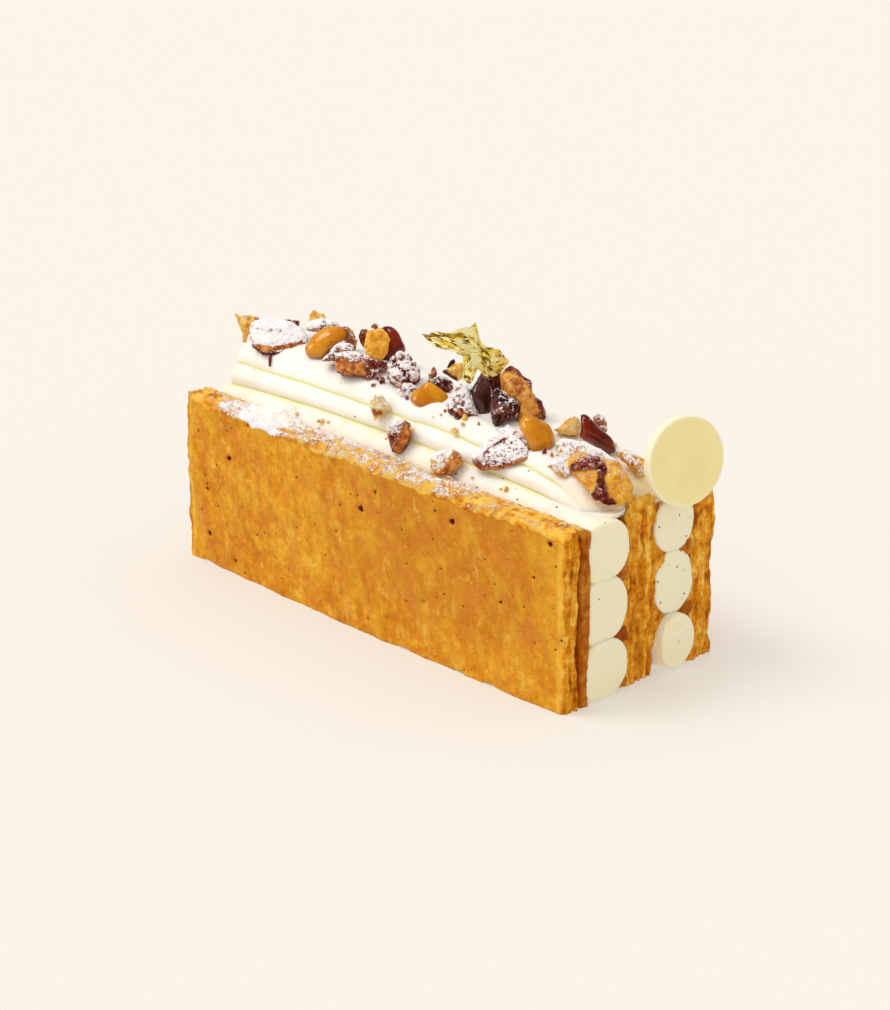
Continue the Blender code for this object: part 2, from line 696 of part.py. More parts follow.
def main():
    clear_scene()
    add_sheets()
    add_tubes()
    add_cream_band()
    add_disc()
    add_toppings()
    add_gold_leaf()


main()
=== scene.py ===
"""Mille feuille slice: pastry, cream, nuts, caramel and gold leaf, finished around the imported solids.

Metres. +X runs along the slice to the end with the disc, -Y is its broad front face, +Z is up.
"""

import math

import bmesh
import bpy
import numpy as np
from mathutils import Matrix, Vector
from mathutils.bvhtree import BVHTree


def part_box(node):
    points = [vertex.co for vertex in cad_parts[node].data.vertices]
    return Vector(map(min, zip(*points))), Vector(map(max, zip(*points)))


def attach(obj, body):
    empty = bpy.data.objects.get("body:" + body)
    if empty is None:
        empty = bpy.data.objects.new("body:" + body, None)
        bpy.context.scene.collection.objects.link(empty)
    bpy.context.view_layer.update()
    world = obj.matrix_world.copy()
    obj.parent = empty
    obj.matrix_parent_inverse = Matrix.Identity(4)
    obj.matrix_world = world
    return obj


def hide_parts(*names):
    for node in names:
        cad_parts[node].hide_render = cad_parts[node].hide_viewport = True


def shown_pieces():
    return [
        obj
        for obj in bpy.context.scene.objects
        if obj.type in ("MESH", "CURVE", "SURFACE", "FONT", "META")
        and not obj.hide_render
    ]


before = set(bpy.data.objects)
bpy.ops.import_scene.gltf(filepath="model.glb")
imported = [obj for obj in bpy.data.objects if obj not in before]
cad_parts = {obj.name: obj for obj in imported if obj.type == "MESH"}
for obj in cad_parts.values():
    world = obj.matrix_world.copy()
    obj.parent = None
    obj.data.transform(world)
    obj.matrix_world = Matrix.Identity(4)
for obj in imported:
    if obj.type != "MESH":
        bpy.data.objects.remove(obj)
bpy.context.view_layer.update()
MM = 0.001


# Numbers and noise

def step(low, high, value):
    t = np.clip((value - low) / (high - low), 0.0, 1.0)
    return t * t * (3 - 2 * t)


def corner_value(ix, iy, iz, seed):
    """A repeatable value between 0 and 1 for each whole-number corner."""
    mixed = (ix * 374761393 + iy * 668265263 + iz * 1103515245 + seed * 974634777) & 0xFFFFFFFF
    mixed = ((mixed ^ (mixed >> 13)) * 1274126177) & 0xFFFFFFFF
    return ((mixed ^ (mixed >> 16)) & 0xFFFF) / 65535


def soft_noise(points, size, seed=0):
    """Smooth noise between -1 and 1. size is the lumps' width in mm, one number or one for each axis."""
    p = points / (np.array(size, float) * MM)
    cell = np.floor(p).astype(np.int64)
    f = p - cell
    f = f * f * f * (f * (f * 6 - 15) + 10)
    total = np.zeros(len(p))
    for dx in (0, 1):
        for dy in (0, 1):
            for dz in (0, 1):
                weight = np.ones(len(p))
                for axis, d in enumerate((dx, dy, dz)):
                    weight = weight * (f[:, axis] if d else 1 - f[:, axis])
                total += weight * corner_value(cell[:, 0] + dx, cell[:, 1] + dy, cell[:, 2] + dz, seed)
    return total * 2 - 1


def crumb_noise(points, size, seed=0, octaves=3):
    """Noise between about -1 and 1 with ever finer lumps on top."""
    size = np.array(size, float)
    total = 0.0
    for k in range(octaves):
        total = total + soft_noise(points, size / 2 ** k, seed + 17 * k) * 0.55 ** k
    return total / sum(0.55 ** k for k in range(octaves))


def fold_noise(points, size, seed=0):
    """Noise from 0 to 1 with sharp valleys, as in creased foil."""
    return np.abs(soft_noise(points, size, seed))


def bell(distance, width):
    return np.exp(-((distance / width) ** 2))


# Colours and shader building

BLACK = (0, 0, 0, 1)


def tint(red, green, blue):
    """A screen colour, 0 to 255, as linear RGBA."""
    linear = []
    for value in (red, green, blue):
        c = value / 255
        linear.append(c / 12.92 if c <= 0.04045 else ((c + 0.055) / 1.055) ** 2.4)
    return (*linear, 1.0)


def set_inputs(tree, node, inputs):
    """Give each input its plain value, or a link where the value is the output socket that feeds it."""
    for key, value in inputs.items():
        if isinstance(value, bpy.types.NodeSocket):
            tree.links.new(value, node.inputs[key])
        else:
            node.inputs[key].default_value = value


def spaced(named):
    """The same values under socket names, which have spaces."""
    return {label.replace("_", " "): value for label, value in named.items()}


def put(tree, kind, inputs=None, **settings):
    """Add a node."""
    made = tree.nodes.new("ShaderNode" + kind)
    for key, value in settings.items():
        setattr(made, key, value)
    set_inputs(tree, made, inputs or {})
    return made


def maths(tree, operation, *values):
    return put(tree, "Math", dict(enumerate(values)), operation=operation).outputs[0]


def weighted_sum(tree, *parts):
    """Add up values, each multiplied by its own weight."""
    products = [maths(tree, "MULTIPLY", value, weight) for value, weight in parts]
    total = products[0]
    for product in products[1:]:
        total = maths(tree, "ADD", total, product)
    return total


def remap(tree, value, low, high, out_low=0.0, out_high=1.0):
    inputs = {"Value": value, "From Min": low, "From Max": high, "To Min": out_low, "To Max": out_high}
    return put(tree, "MapRange", inputs, interpolation_type="SMOOTHSTEP").outputs["Result"]


def mix_colour(tree, factor, first, second):
    return put(tree, "Mix", {0: factor, 6: first, 7: second}, data_type="RGBA").outputs[2]


def paint(tree, colour, *coats):
    """Lay colours over one another, each where its mask lets it."""
    for mask, coat in coats:
        colour = mix_colour(tree, mask, colour, coat)
    return colour


def own_place(tree, scale=(1, 1, 1), tilt=0.0):
    """The object's own coordinates, leaned by tilt about Y and then stretched."""
    place = put(tree, "TexCoord").outputs["Object"]
    if tilt:
        place = put(tree, "Mapping", {"Vector": place, "Rotation": (0, tilt, 0)}).outputs[0]
    if tuple(scale) != (1, 1, 1):
        place = put(tree, "Mapping", {"Vector": place, "Scale": scale}).outputs[0]
    return place


def noise_value(tree, scale, detail=3.0, roughness=0.55, place=None):
    inputs = {"Vector": place or own_place(tree), "Scale": scale, "Detail": detail, "Roughness": roughness}
    return put(tree, "TexNoise", inputs).outputs[0]


def mark(tree, label):
    """A value that the mesh carries at its corners."""
    return put(tree, "Attribute", attribute_name=label).outputs["Fac"]


def ramp(tree, factor, *stops):
    made = put(tree, "ValToRGB", {"Fac": factor})
    elements = made.color_ramp.elements
    while len(elements) < len(stops):
        elements.new(0.5)
    for element, (position, colour) in zip(elements, stops):
        element.position = position
        element.color = colour
    return made.outputs["Color"]


GROUPS = {}


def shared_group(name, inputs, outputs, fill):
    """A node group made once. fill(tree, given) returns the output sockets in order."""
    tree = bpy.data.node_groups.new(name, "ShaderNodeTree")
    for label, value in inputs:
        tree.interface.new_socket(label, in_out="INPUT", socket_type="NodeSocketFloat").default_value = value
    for label in outputs:
        tree.interface.new_socket(label, in_out="OUTPUT", socket_type="NodeSocketFloat")
    given = tree.nodes.new("NodeGroupInput")
    result = tree.nodes.new("NodeGroupOutput")
    for socket, label in zip(fill(tree, given.outputs), outputs):
        tree.links.new(socket, result.inputs[label])
    GROUPS[name] = tree


def use_group(tree, name, **inputs):
    return put(tree, "Group", spaced(inputs), node_tree=GROUPS[name]).outputs


def icing_sugar(tree, given):
    """Powder that settles on upward faces, in patches that break up into grains."""
    normal = put(tree, "NewGeometry").outputs["Normal"]
    up = put(tree, "SeparateXYZ", {0: normal}).outputs["Z"]
    grains = noise_value(tree, 3600, 2, 0.7)
    patchy = maths(tree, "SUBTRACT", noise_value(tree, 1400, 4, 0.7), 0.5)
    grainy = maths(tree, "SUBTRACT", grains, 0.5)
    level = weighted_sum(tree, (up, 0.55), (patchy, 2.4), (grainy, 1.7))
    level = maths(tree, "ADD", level, given["Raised"])
    threshold = maths(tree, "SUBTRACT", 1.0, maths(tree, "MULTIPLY", given["Coverage"], 2.0))
    mask = remap(tree, maths(tree, "SUBTRACT", level, threshold), -0.12, 0.12)
    return mask, maths(tree, "MULTIPLY", mask, grains)


def thin_specks(tree, given):
    """Small round spots, thinly scattered."""
    place = put(tree, "VectorMath", {0: own_place(tree), 1: (0.013, 0.007, 0.003)}, operation="ADD")
    cells = put(tree, "TexVoronoi",
                {"Vector": place.outputs[0], "Scale": given["Density"], "Randomness": 1.0})
    near = maths(tree, "LESS_THAN", cells.outputs["Distance"], given["Size"])
    chosen = put(tree, "SeparateColor", {0: cells.outputs["Color"]}).outputs[0]
    few = maths(tree, "LESS_THAN", chosen, given["Share"])
    return (maths(tree, "MULTIPLY", maths(tree, "MULTIPLY", near, few), given["Strength"]),)


def baked_grain(tree, given):
    """A fine height for baked and sugared surfaces, and the same as a tone from 0 to 1."""
    tone = weighted_sum(tree, (noise_value(tree, 900, 4, 0.6), 0.7), (noise_value(tree, 3800, 2, 0.6), 0.3))
    return maths(tree, "MULTIPLY", tone, given["Depth"]), tone


def make_groups():
    shared_group("icing sugar", (("Coverage", 0.5), ("Raised", 0.0)), ("Mask", "Height"), icing_sugar)
    shared_group("thin specks", (("Density", 400), ("Size", 0.1), ("Share", 0.5), ("Strength", 1.0)),
                 ("Mask",), thin_specks)
    shared_group("baked grain", (("Depth", 1.0),), ("Height", "Tone"), baked_grain)


def specks(tree, density, size, share, strength=1.0):
    """A mask of spots: cells to the metre, the spots' radius in cells, and the share of cells with one."""
    return use_group(tree, "thin specks", Density=density, Size=size, Share=share, Strength=strength)["Mask"]


SUGAR_WHITE = tint(254, 249, 249)
# Icing sugar glows a little, as painted light, so that it stays white in shade
SUGAR_GLOW = 0.15


def sugar_coat(tree, colour):
    """Icing sugar over a colour: the new colour, the painted glow of the sugar, its mask and its height."""
    sugar = use_group(tree, "icing sugar", Coverage=mark(tree, "sugar"), Raised=mark(tree, "raised"))
    white, glow = (mix_colour(tree, sugar["Mask"], under, SUGAR_WHITE) for under in (colour, BLACK))
    return white, glow, sugar["Mask"], sugar["Height"]


def new_material(name, inside=None, **sockets):
    """A material with its fixed numbers on the shader's own sockets. inside is how much of the light goes in,
    and how far its red, green and blue spread there in mm."""
    made = bpy.data.materials.new(name)
    made.use_nodes = True
    if inside:
        share, spread = inside
        sockets.update(Subsurface_Weight=share, Subsurface_Scale=1.0)
        sockets.update(Subsurface_Radius=[s * MM for s in spread])
    set_inputs(made.node_tree, made.node_tree.nodes["Principled BSDF"], spaced(sockets))
    return made, made.node_tree


def finish(made, height, depth, strength, **inputs):
    """Feed what varies into the shader, with a relief of this height pattern and depth in mm."""
    tree = made.node_tree
    relief = put(tree, "Bump", {"Height": height, "Distance": depth * MM, "Strength": strength})
    set_inputs(tree, tree.nodes["Principled BSDF"], {"Normal": relief.outputs["Normal"], **spaced(inputs)})
    return made


# Materials

def puff_pastry():
    """Baked skin with strokes, blotches, pits and freckles, painted highlights along its ridges and painted
    shade in its holes; layered crumb where the mesh is torn or cut, with painted shade in its recesses. Sugar
    on it glows a little, as painted light.
    """
    made, tree = new_material("golden puff pastry", (0.12, (1.6, 0.7, 0.2)), Specular_IOR_Level=0.1,
                              Emission_Strength=SUGAR_GLOW * 0.6)
    strokes = noise_value(tree, 280, 4, 0.65, own_place(tree, (1, 1, 0.36), 0.24))
    patches = noise_value(tree, 62, 2)
    blotches = noise_value(tree, 330, 4, 0.7)
    grain = use_group(tree, "baked grain", Depth=1.0)
    tone = weighted_sum(tree, (strokes, 0.3), (patches, 0.2), (blotches, 0.35), (grain["Tone"], 0.36))
    tone = maths(tree, "SUBTRACT", tone, 0.115)
    skin = ramp(tree, tone, (0.38, tint(196, 112, 10)), (0.45, tint(213, 134, 20)),
                (0.50, tint(223, 149, 28)), (0.56, tint(235, 168, 38)), (0.64, tint(248, 198, 76)))
    buttery = noise_value(tree, 190, 3, 0.6, own_place(tree, (1, 1, 0.5), 0.24))
    rosy = noise_value(tree, 170, 3, 0.6, own_place(tree, (1.3, 1, 0.7), 0.2))
    ridges = noise_value(tree, 150, 3, 0.5, own_place(tree, (1, 1, 0.3), 0.26))
    # crest: where a painted highlight runs along the ridges' tops
    crest = remap(tree, maths(tree, "ABSOLUTE", maths(tree, "SUBTRACT", ridges, 0.5)), 0.0, 0.03, 1.0, 0.0)
    crest = maths(tree, "MULTIPLY", crest, remap(tree, blotches, 0.46, 0.6))
    leaves = noise_value(tree, 1, 3, 0.6, own_place(tree, (90, 900, 110)))
    torn = noise_value(tree, 460, 5, 0.66)
    layered = weighted_sum(tree, (leaves, 0.42), (torn, 0.58))
    cut = ramp(tree, layered, (0.38, tint(162, 80, 0)), (0.45, tint(210, 128, 8)), (0.53, tint(234, 160, 30)),
               (0.61, tint(253, 206, 96)))
    ragged = maths(tree, "MULTIPLY", maths(tree, "SUBTRACT", noise_value(tree, 1500, 2), 0.5), 0.7)
    pitted = maths(tree, "ADD", mark(tree, "hole"), ragged)
    colour = paint(
        tree, skin,
        (maths(tree, "MULTIPLY", mark(tree, "brown"), 0.9), tint(198, 120, 30)),
        (remap(tree, buttery, 0.5, 0.66, 0.0, 0.45), tint(228, 176, 44)),
        (remap(tree, rosy, 0.52, 0.7, 0.0, 0.5), tint(214, 126, 48)),
        # painted highlight on the ridges' crests
        (maths(tree, "MULTIPLY", crest, 0.36), tint(250, 200, 96)),
        (specks(tree, 330.0, 0.1, 0.4), tint(132, 34, 8)),
        (specks(tree, 760.0, 0.13, 0.42, 0.6), tint(150, 66, 10)),
        (specks(tree, 620.0, 0.2, 0.16, 0.3), tint(250, 200, 96)),
        (mark(tree, "cut"), cut),
        (mark(tree, "pale"), tint(248, 200, 78)),
        # painted shade in the ends' recesses and on the crags in the notches
        (mark(tree, "deep_shade"), tint(152, 58, 0)),
        # Pits and holes: a browned ring, and a near-black middle that is painted shade inside the hole
        (remap(tree, pitted, 0.18, 0.4, 0.0, 0.5), tint(172, 84, 18)),
        (remap(tree, pitted, 0.40, 0.52), tint(84, 14, 6)))
    colour, glow, _, sugar_height = sugar_coat(tree, colour)
    height = weighted_sum(tree, (grain["Height"], 1.0), (layered, mark(tree, "cut")), (crest, 0.5),
                          (sugar_height, 1.0))
    return finish(made, height, 0.4, 0.9, Base_Color=colour, Emission_Color=glow,
                  Roughness=remap(tree, tone, 0.3, 0.7, 0.42, 0.62))


def cream(name, pale, warm, buttery, crease_shade, seeds, pores, lumps):
    """Piped cream with a soft mottle, and painted shade where pleats press together and in its dimples and
    notches, which also glows a little as painted light. seeds is their radius and share, pores the share of
    small bubbles, and lumps the depth of its unevenness in mm."""
    made, tree = new_material(name, (0.35, (2.2, 1.7, 1.0)), Roughness=0.42, Specular_IOR_Level=0.35,
                              Emission_Strength=0.2)
    colour = paint(
        tree, pale,
        (remap(tree, noise_value(tree, 160, 3), 0.3, 0.72), warm),
        (remap(tree, noise_value(tree, 330, 4, 0.66), 0.5, 0.68, 0.0, 0.6), buttery),
        (mark(tree, "smoothed"), tint(250, 240, 208)),
        # painted shade in the creases, dimples and notches
        (mark(tree, "crease_shade"), crease_shade),
        (specks(tree, 480.0, 0.17, pores, 0.5), tint(228, 206, 142)),
        (specks(tree, 400.0, *seeds), tint(62, 40, 28)))
    # the crease_shade colour also glows, as painted light
    glow = mix_colour(tree, mark(tree, "crease_shade"), BLACK, crease_shade)
    return finish(made, noise_value(tree, 500, 3, 0.5), lumps, 0.6, Base_Color=colour, Emission_Color=glow)


def white_chocolate():
    made, tree = new_material("moulded white chocolate", (0.3, (1.6, 1.3, 0.6)), Specular_IOR_Level=0.4)
    colour = paint(tree, tint(250, 236, 172),
                   (remap(tree, noise_value(tree, 110, 3), 0.3, 0.7), tint(246, 231, 163)),
                   (mark(tree, "rim"), tint(252, 240, 208)))
    return finish(made, noise_value(tree, 260, 2), 0.04, 0.6, Base_Color=colour,
                  Roughness=remap(tree, noise_value(tree, 700, 2), 0.3, 0.7, 0.36, 0.44))


def leaf_gold():
    """Foil: each flat face of the mesh carries its own painted reflection, and fine wrinkles run across; the
    foil also glows a little in its own colour, as painted light.
    """
    made, tree = new_material("edible gold leaf", Metallic=0.3, Emission_Strength=0.1)
    wrinkles = noise_value(tree, 1300, 4, 0.72)
    shade = maths(tree, "ADD", mark(tree, "facet_reflection"), maths(tree, "MULTIPLY", wrinkles, 1.1))
    colour = ramp(tree, maths(tree, "SUBTRACT", shade, 0.55), (0.08, tint(104, 76, 10)),
                  (0.26, tint(184, 144, 30)), (0.46, tint(238, 204, 70)), (0.66, tint(255, 232, 112)),
                  (0.90, tint(255, 248, 190)))
    return finish(made, wrinkles, 0.3, 0.8, Base_Color=colour, Emission_Color=colour,
                  Roughness=remap(tree, wrinkles, 0.3, 0.7, 0.18, 0.4))


def caramel(name, thin, thick, clear):
    """Glossy sugar: clear is how much of the light goes in."""
    made, tree = new_material(name, (clear, (1.6, 0.5, 0.1)), Roughness=0.18, Specular_IOR_Level=0.12,
                              Coat_Weight=0.6, Coat_Roughness=0.04)
    colour = paint(
        tree, thin,
        (remap(tree, noise_value(tree, 190, 3, 0.5), 0.32, 0.68), thick),
        (remap(tree, noise_value(tree, 1300, 2), 0.66, 0.74), tint(120, 60, 18)),
        # burnt: painted shade towards the foot
        (mark(tree, "burnt"), [a + (b - a) * 0.62 for a, b in zip(thin, tint(96, 40, 8))]),
        (mark(tree, "toffee"), tint(150, 74, 22)),
        (mark(tree, "dark"), tint(84, 34, 18)))
    colour = sugar_coat(tree, colour)[0]
    return finish(made, noise_value(tree, 520, 2), 0.06, 0.5, Base_Color=colour)


def nut(name, light, middle, dark):
    """Caramelised nut: browner in hollows, with icing sugar where the mesh asks for it, which glows a little
    as painted light.
    """
    made, tree = new_material(name, (0.06, (1.2, 0.5, 0.2)), Specular_IOR_Level=0.18,
                              Emission_Strength=SUGAR_GLOW)
    grain = use_group(tree, "baked grain", Depth=1.0)
    blotches = noise_value(tree, 620, 5, 0.68)
    tone = weighted_sum(tree, (blotches, 0.7), (grain["Tone"], 0.3), (mark(tree, "raised"), 0.2))
    colour = paint(
        tree, ramp(tree, tone, (0.42, dark), (0.495, middle), (0.575, light)),
        # burnt: painted shade towards the foot
        (mark(tree, "burnt"), dark),
        (mark(tree, "toffee"),
         ramp(tree, tone, (0.42, tint(150, 70, 28)), (0.50, tint(192, 110, 46)), (0.58, tint(228, 160, 84)))),
        (mark(tree, "dark"),
         ramp(tree, tone, (0.44, tint(54, 6, 8)), (0.52, tint(92, 18, 14)), (0.60, tint(156, 66, 40)))))
    colour, glow, mask, sugar_height = sugar_coat(tree, colour)
    return finish(made, maths(tree, "ADD", grain["Height"], sugar_height), 0.4, 1.0, Base_Color=colour,
                  Emission_Color=glow, Roughness=maths(tree, "MULTIPLY_ADD", mask, 0.5, 0.32))


def sugar_powder():
    made, tree = new_material("icing sugar powder", Roughness=0.85, Specular_IOR_Level=0.2)
    tone = remap(tree, noise_value(tree, 900, 3), 0.3, 0.7)
    return finish(made, noise_value(tree, 2400, 3, 0.7), 0.2, 0.8,
                  Base_Color=mix_colour(tree, tone, tint(240, 230, 216), tint(252, 249, 245)))


# Meshes

def merge_corners(mesh, reach=1e-6):
    """Merge corners that lie on one spot, and turn all faces outward."""
    built = bmesh.new()
    built.from_mesh(mesh)
    bmesh.ops.remove_doubles(built, verts=built.verts[:], dist=reach)
    bmesh.ops.recalc_face_normals(built, faces=built.faces[:])
    built.to_mesh(mesh)
    built.free()


def add_piece(name, points, faces, look, node=None, marks=None, smooth=True, sealed=False):
    """A mesh that rides on the slice, with marks at its corners; sealed merges the corners that meet."""
    mesh = bpy.data.meshes.new(name)
    mesh.from_pydata(np.asarray(points).tolist(), [], np.asarray(faces).tolist())
    mesh.polygons.foreach_set("use_smooth", np.full(len(mesh.polygons), smooth))
    for label, values in (marks or {}).items():
        layer = mesh.attributes.new(label, "FLOAT", "POINT")
        layer.data.foreach_set("value", np.asarray(values, np.float32))
    mesh.materials.append(look)
    mesh.update()
    piece = bpy.data.objects.new(name, mesh)
    bpy.context.collection.objects.link(piece)
    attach(piece, "root")
    if node:
        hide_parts(node)
    if sealed:
        merge_corners(mesh)
    return piece


def box_skin(xs, ys, zs):
    """The skin of a box cut on three sets of planes: corner points and outward quads."""
    shape = (len(xs), len(ys), len(zs))
    grid = np.indices(shape).reshape(3, -1).T
    outer = ((grid == 0) | (grid == np.array(shape) - 1)).any(1)
    number = np.full(len(grid), -1)
    number[outer] = np.arange(outer.sum())
    number = number.reshape(shape)
    quads = []
    for axis in range(3):
        for side in (0, -1):
            face = np.take(number, side, axis)
            quad = np.stack([face[:-1, :-1], face[1:, :-1], face[1:, 1:], face[:-1, 1:]], -1).reshape(-1, 4)
            if (side == 0) != (axis == 1):
                quad = quad[:, ::-1]
            quads.append(quad)
    kept = grid[outer]
    points = np.stack([xs[kept[:, 0]], ys[kept[:, 1]], zs[kept[:, 2]]], -1)
    return points, np.concatenate(quads)


def tube_skin(rows):
    """Quads that join rings of points, each row one ring; a row may have shrunk to its centre."""
    count = len(rows[0])
    points = np.concatenate(rows)
    i = np.arange(count)
    quads = []
    for k in range(len(rows) - 1):
        low, high = k * count, (k + 1) * count
        quads.append(np.stack([low + i, low + (i + 1) % count, high + (i + 1) % count, high + i], -1))
    return points, np.concatenate(quads)


def ball_skin(subdivisions, radius):
    """An even ball of triangles: points and faces."""
    built = bmesh.new()
    bmesh.ops.create_icosphere(built, subdivisions=subdivisions, radius=radius)
    points = np.array([v.co for v in built.verts])
    faces = np.array([[v.index for v in f.verts] for f in built.faces])
    built.free()
    return points, faces


def circle(count, shift=0.0):
    """Angles evenly round a ring."""
    return 2 * math.pi * (np.arange(count) + shift) / count


def cut_outline(corners, length):
    """Points about every length mm along a closed outline."""
    points = []
    for start, end in zip(corners, np.roll(corners, -1, 0)):
        count = max(1, int(round(np.hypot(*(end - start)) / length)))
        points += [start + (end - start) * k / count for k in range(count)]
    return np.array(points)


# Pastry sheets

SHEET_HEIGHT = 41 * MM
LAYER_DEPTH = 1.45 * MM
SPLIT_DEPTH = 3.2 * MM
HOLE_DEPTH = 0.75 * MM
EVEN = 400  # a noise size in mm that leaves the noise even along that axis

# The three sheets, in mm: their span in y, half length, how far an outer face bows, which sides touch cream
# and where the ends split open. Then the right end: how much it widens, how high its torn top stands and how
# far it reaches out. Last come the noise's seed and the number of planes along each axis.
SHEETS = {
    "front_sheet": dict(node="pastry_front", span=(-24.2, -16.9), end_x=63.0, bow=1.2, inner=(1,),
                        split_y=-19.6, flare=0.0, crest=0.0, reach_out=0.8, seed=1, steps=(236, 30, 100)),
    "middle_sheet": dict(node="pastry_middle", span=(-4.8, 4.2), end_x=61.8, bow=0.0, inner=(-1, 1),
                         split_y=None, flare=2.3, crest=2.9, reach_out=0.6, seed=2, steps=(110, 36, 84)),
    "rear_sheet": dict(node="pastry_rear", span=(15.9, 23.2), end_x=62.4, bow=0.7, inner=(-1,),
                       split_y=None, flare=0.0, crest=0.9, reach_out=0.0, seed=3, steps=(180, 30, 84)),
}

# Baked-through holes and brown pits of the front face: x, z and radius in mm, and how dark from 0 to 1; the
# darkest middles are painted shade inside the holes
HOLES = (
    (-0.4, 29.3, 0.85, 1.0), (-54.9, 7.5, 0.7, 1.0), (29.5, 34.9, 0.7, 1.0), (-47.0, 28.4, 0.65, 1.0),
    (20.5, 13.1, 0.8, 0.5), (58.4, 38.1, 0.65, 1.0), (-22.8, 18.4, 0.75, 0.45), (-8.8, 21.4, 0.65, 0.5),
    (-45.5, 3.2, 0.45, 1.0), (4.7, 34.6, 0.5, 0.9), (-55.5, 18.6, 0.45, 1.0), (-37.0, 5.5, 0.6, 0.4),
    (13.9, 39.7, 0.55, 0.5), (-39.3, 39.0, 0.45, 1.0), (44.1, 20.1, 0.45, 1.0), (-50.7, 19.8, 0.5, 0.4),
    (-37.0, 29.8, 0.5, 0.4), (24.3, 36.0, 0.4, 1.0), (-36.7, 12.5, 0.4, 0.7), (60.5, 33.6, 0.4, 0.8),
    (-1.7, 1.0, 0.4, 0.4), (-41.9, 1.1, 0.35, 1.0), (59.3, 23.6, 0.4, 0.5), (-47.2, 35.3, 0.35, 0.9),
    (-58.4, 32.4, 0.35, 1.0), (61.7, 17.0, 0.35, 1.0), (-21.7, 30.9, 0.35, 0.8), (-51.1, 27.7, 0.4, 0.4),
    (42.2, 24.0, 0.35, 0.7), (-51.3, 15.4, 0.35, 0.8), (26.0, 22.6, 0.35, 0.8), (33.3, 1.2, 0.35, 0.6),
    (54.1, 28.9, 0.35, 1.0), (14.0, 28.6, 0.3, 0.8), (5.7, 30.3, 0.3, 0.7), (47.3, 37.7, 0.35, 0.5),
    (-1.3, 32.3, 0.3, 0.7), (54.5, 14.2, 0.35, 0.6), (-36.6, 40.0, 0.3, 0.9), (-55.9, 22.1, 0.3, 0.9),
)
# Shallow dents and raised blisters of the front face: x, z, radius and height in mm
BLISTERS = (
    (-37.0, 29.8, 2.2, -0.5), (-22.5, 18.7, 2.4, -0.55), (-8.5, 21.6, 1.8, -0.5), (-36.8, 6.0, 2.0, -0.45),
    (20.9, 13.5, 2.2, -0.5), (32.9, 23.5, 2.4, -0.5), (42.5, 29.1, 1.6, 0.4), (47.1, 36.0, 1.6, 0.4),
    (28.8, 30.5, 1.5, 0.35), (36.9, 3.3, 1.4, 0.35), (2.6, 8.6, 2.6, 0.35), (-52.0, 25.0, 2.4, 0.3),
)


def end_weighted(end_x, count):
    """Planes along a sheet, closer together in its last 4 mm."""
    near = np.linspace(0, 4 * MM, 13)
    middle = np.linspace(-end_x + 4 * MM, end_x - 4 * MM, count)[1:-1]
    return np.concatenate([-end_x + near, middle, (end_x - near)[::-1]])


def cusp_crags(z, side):
    """How far a sheet's edge reaches into the two notches between the tubes, less on its rear side."""
    reach = np.zeros(len(z))
    for cusp, height in ((13.4 * MM, 2.2 * MM), (27.9 * MM, 2.9 * MM)):
        reach = np.maximum(reach, height * np.clip(1 - np.abs(z - cusp) / (2.2 * MM), 0, 1))
    return np.where(side < 0, reach, reach * 0.5)


def dents_and_holes(base, outer, seed):
    """The broad front face's own dents, blisters and holes: relief in metres, and a mark for the holes."""
    x, _, z = base.T
    relief, hole = np.zeros(len(x)), np.zeros(len(x))
    ragged = 1 + 0.3 * soft_noise(base, 0.5, seed)
    for hole_x, hole_z, radius, dark in HOLES:
        middle = np.argmin(np.hypot(x - hole_x * MM, z - hole_z * MM) + ~outer)
        near = dark * bell(np.hypot(x - x[middle], z - z[middle]) * ragged, radius * MM) * outer
        relief = relief - HOLE_DEPTH * near
        hole = np.maximum(hole, near)
    for dent_x, dent_z, radius, height in BLISTERS:
        distance = np.hypot((x - dent_x * MM) * 1.25, z - dent_z * MM)
        relief = relief + height * MM * bell(distance, radius * MM)
    return relief, hole


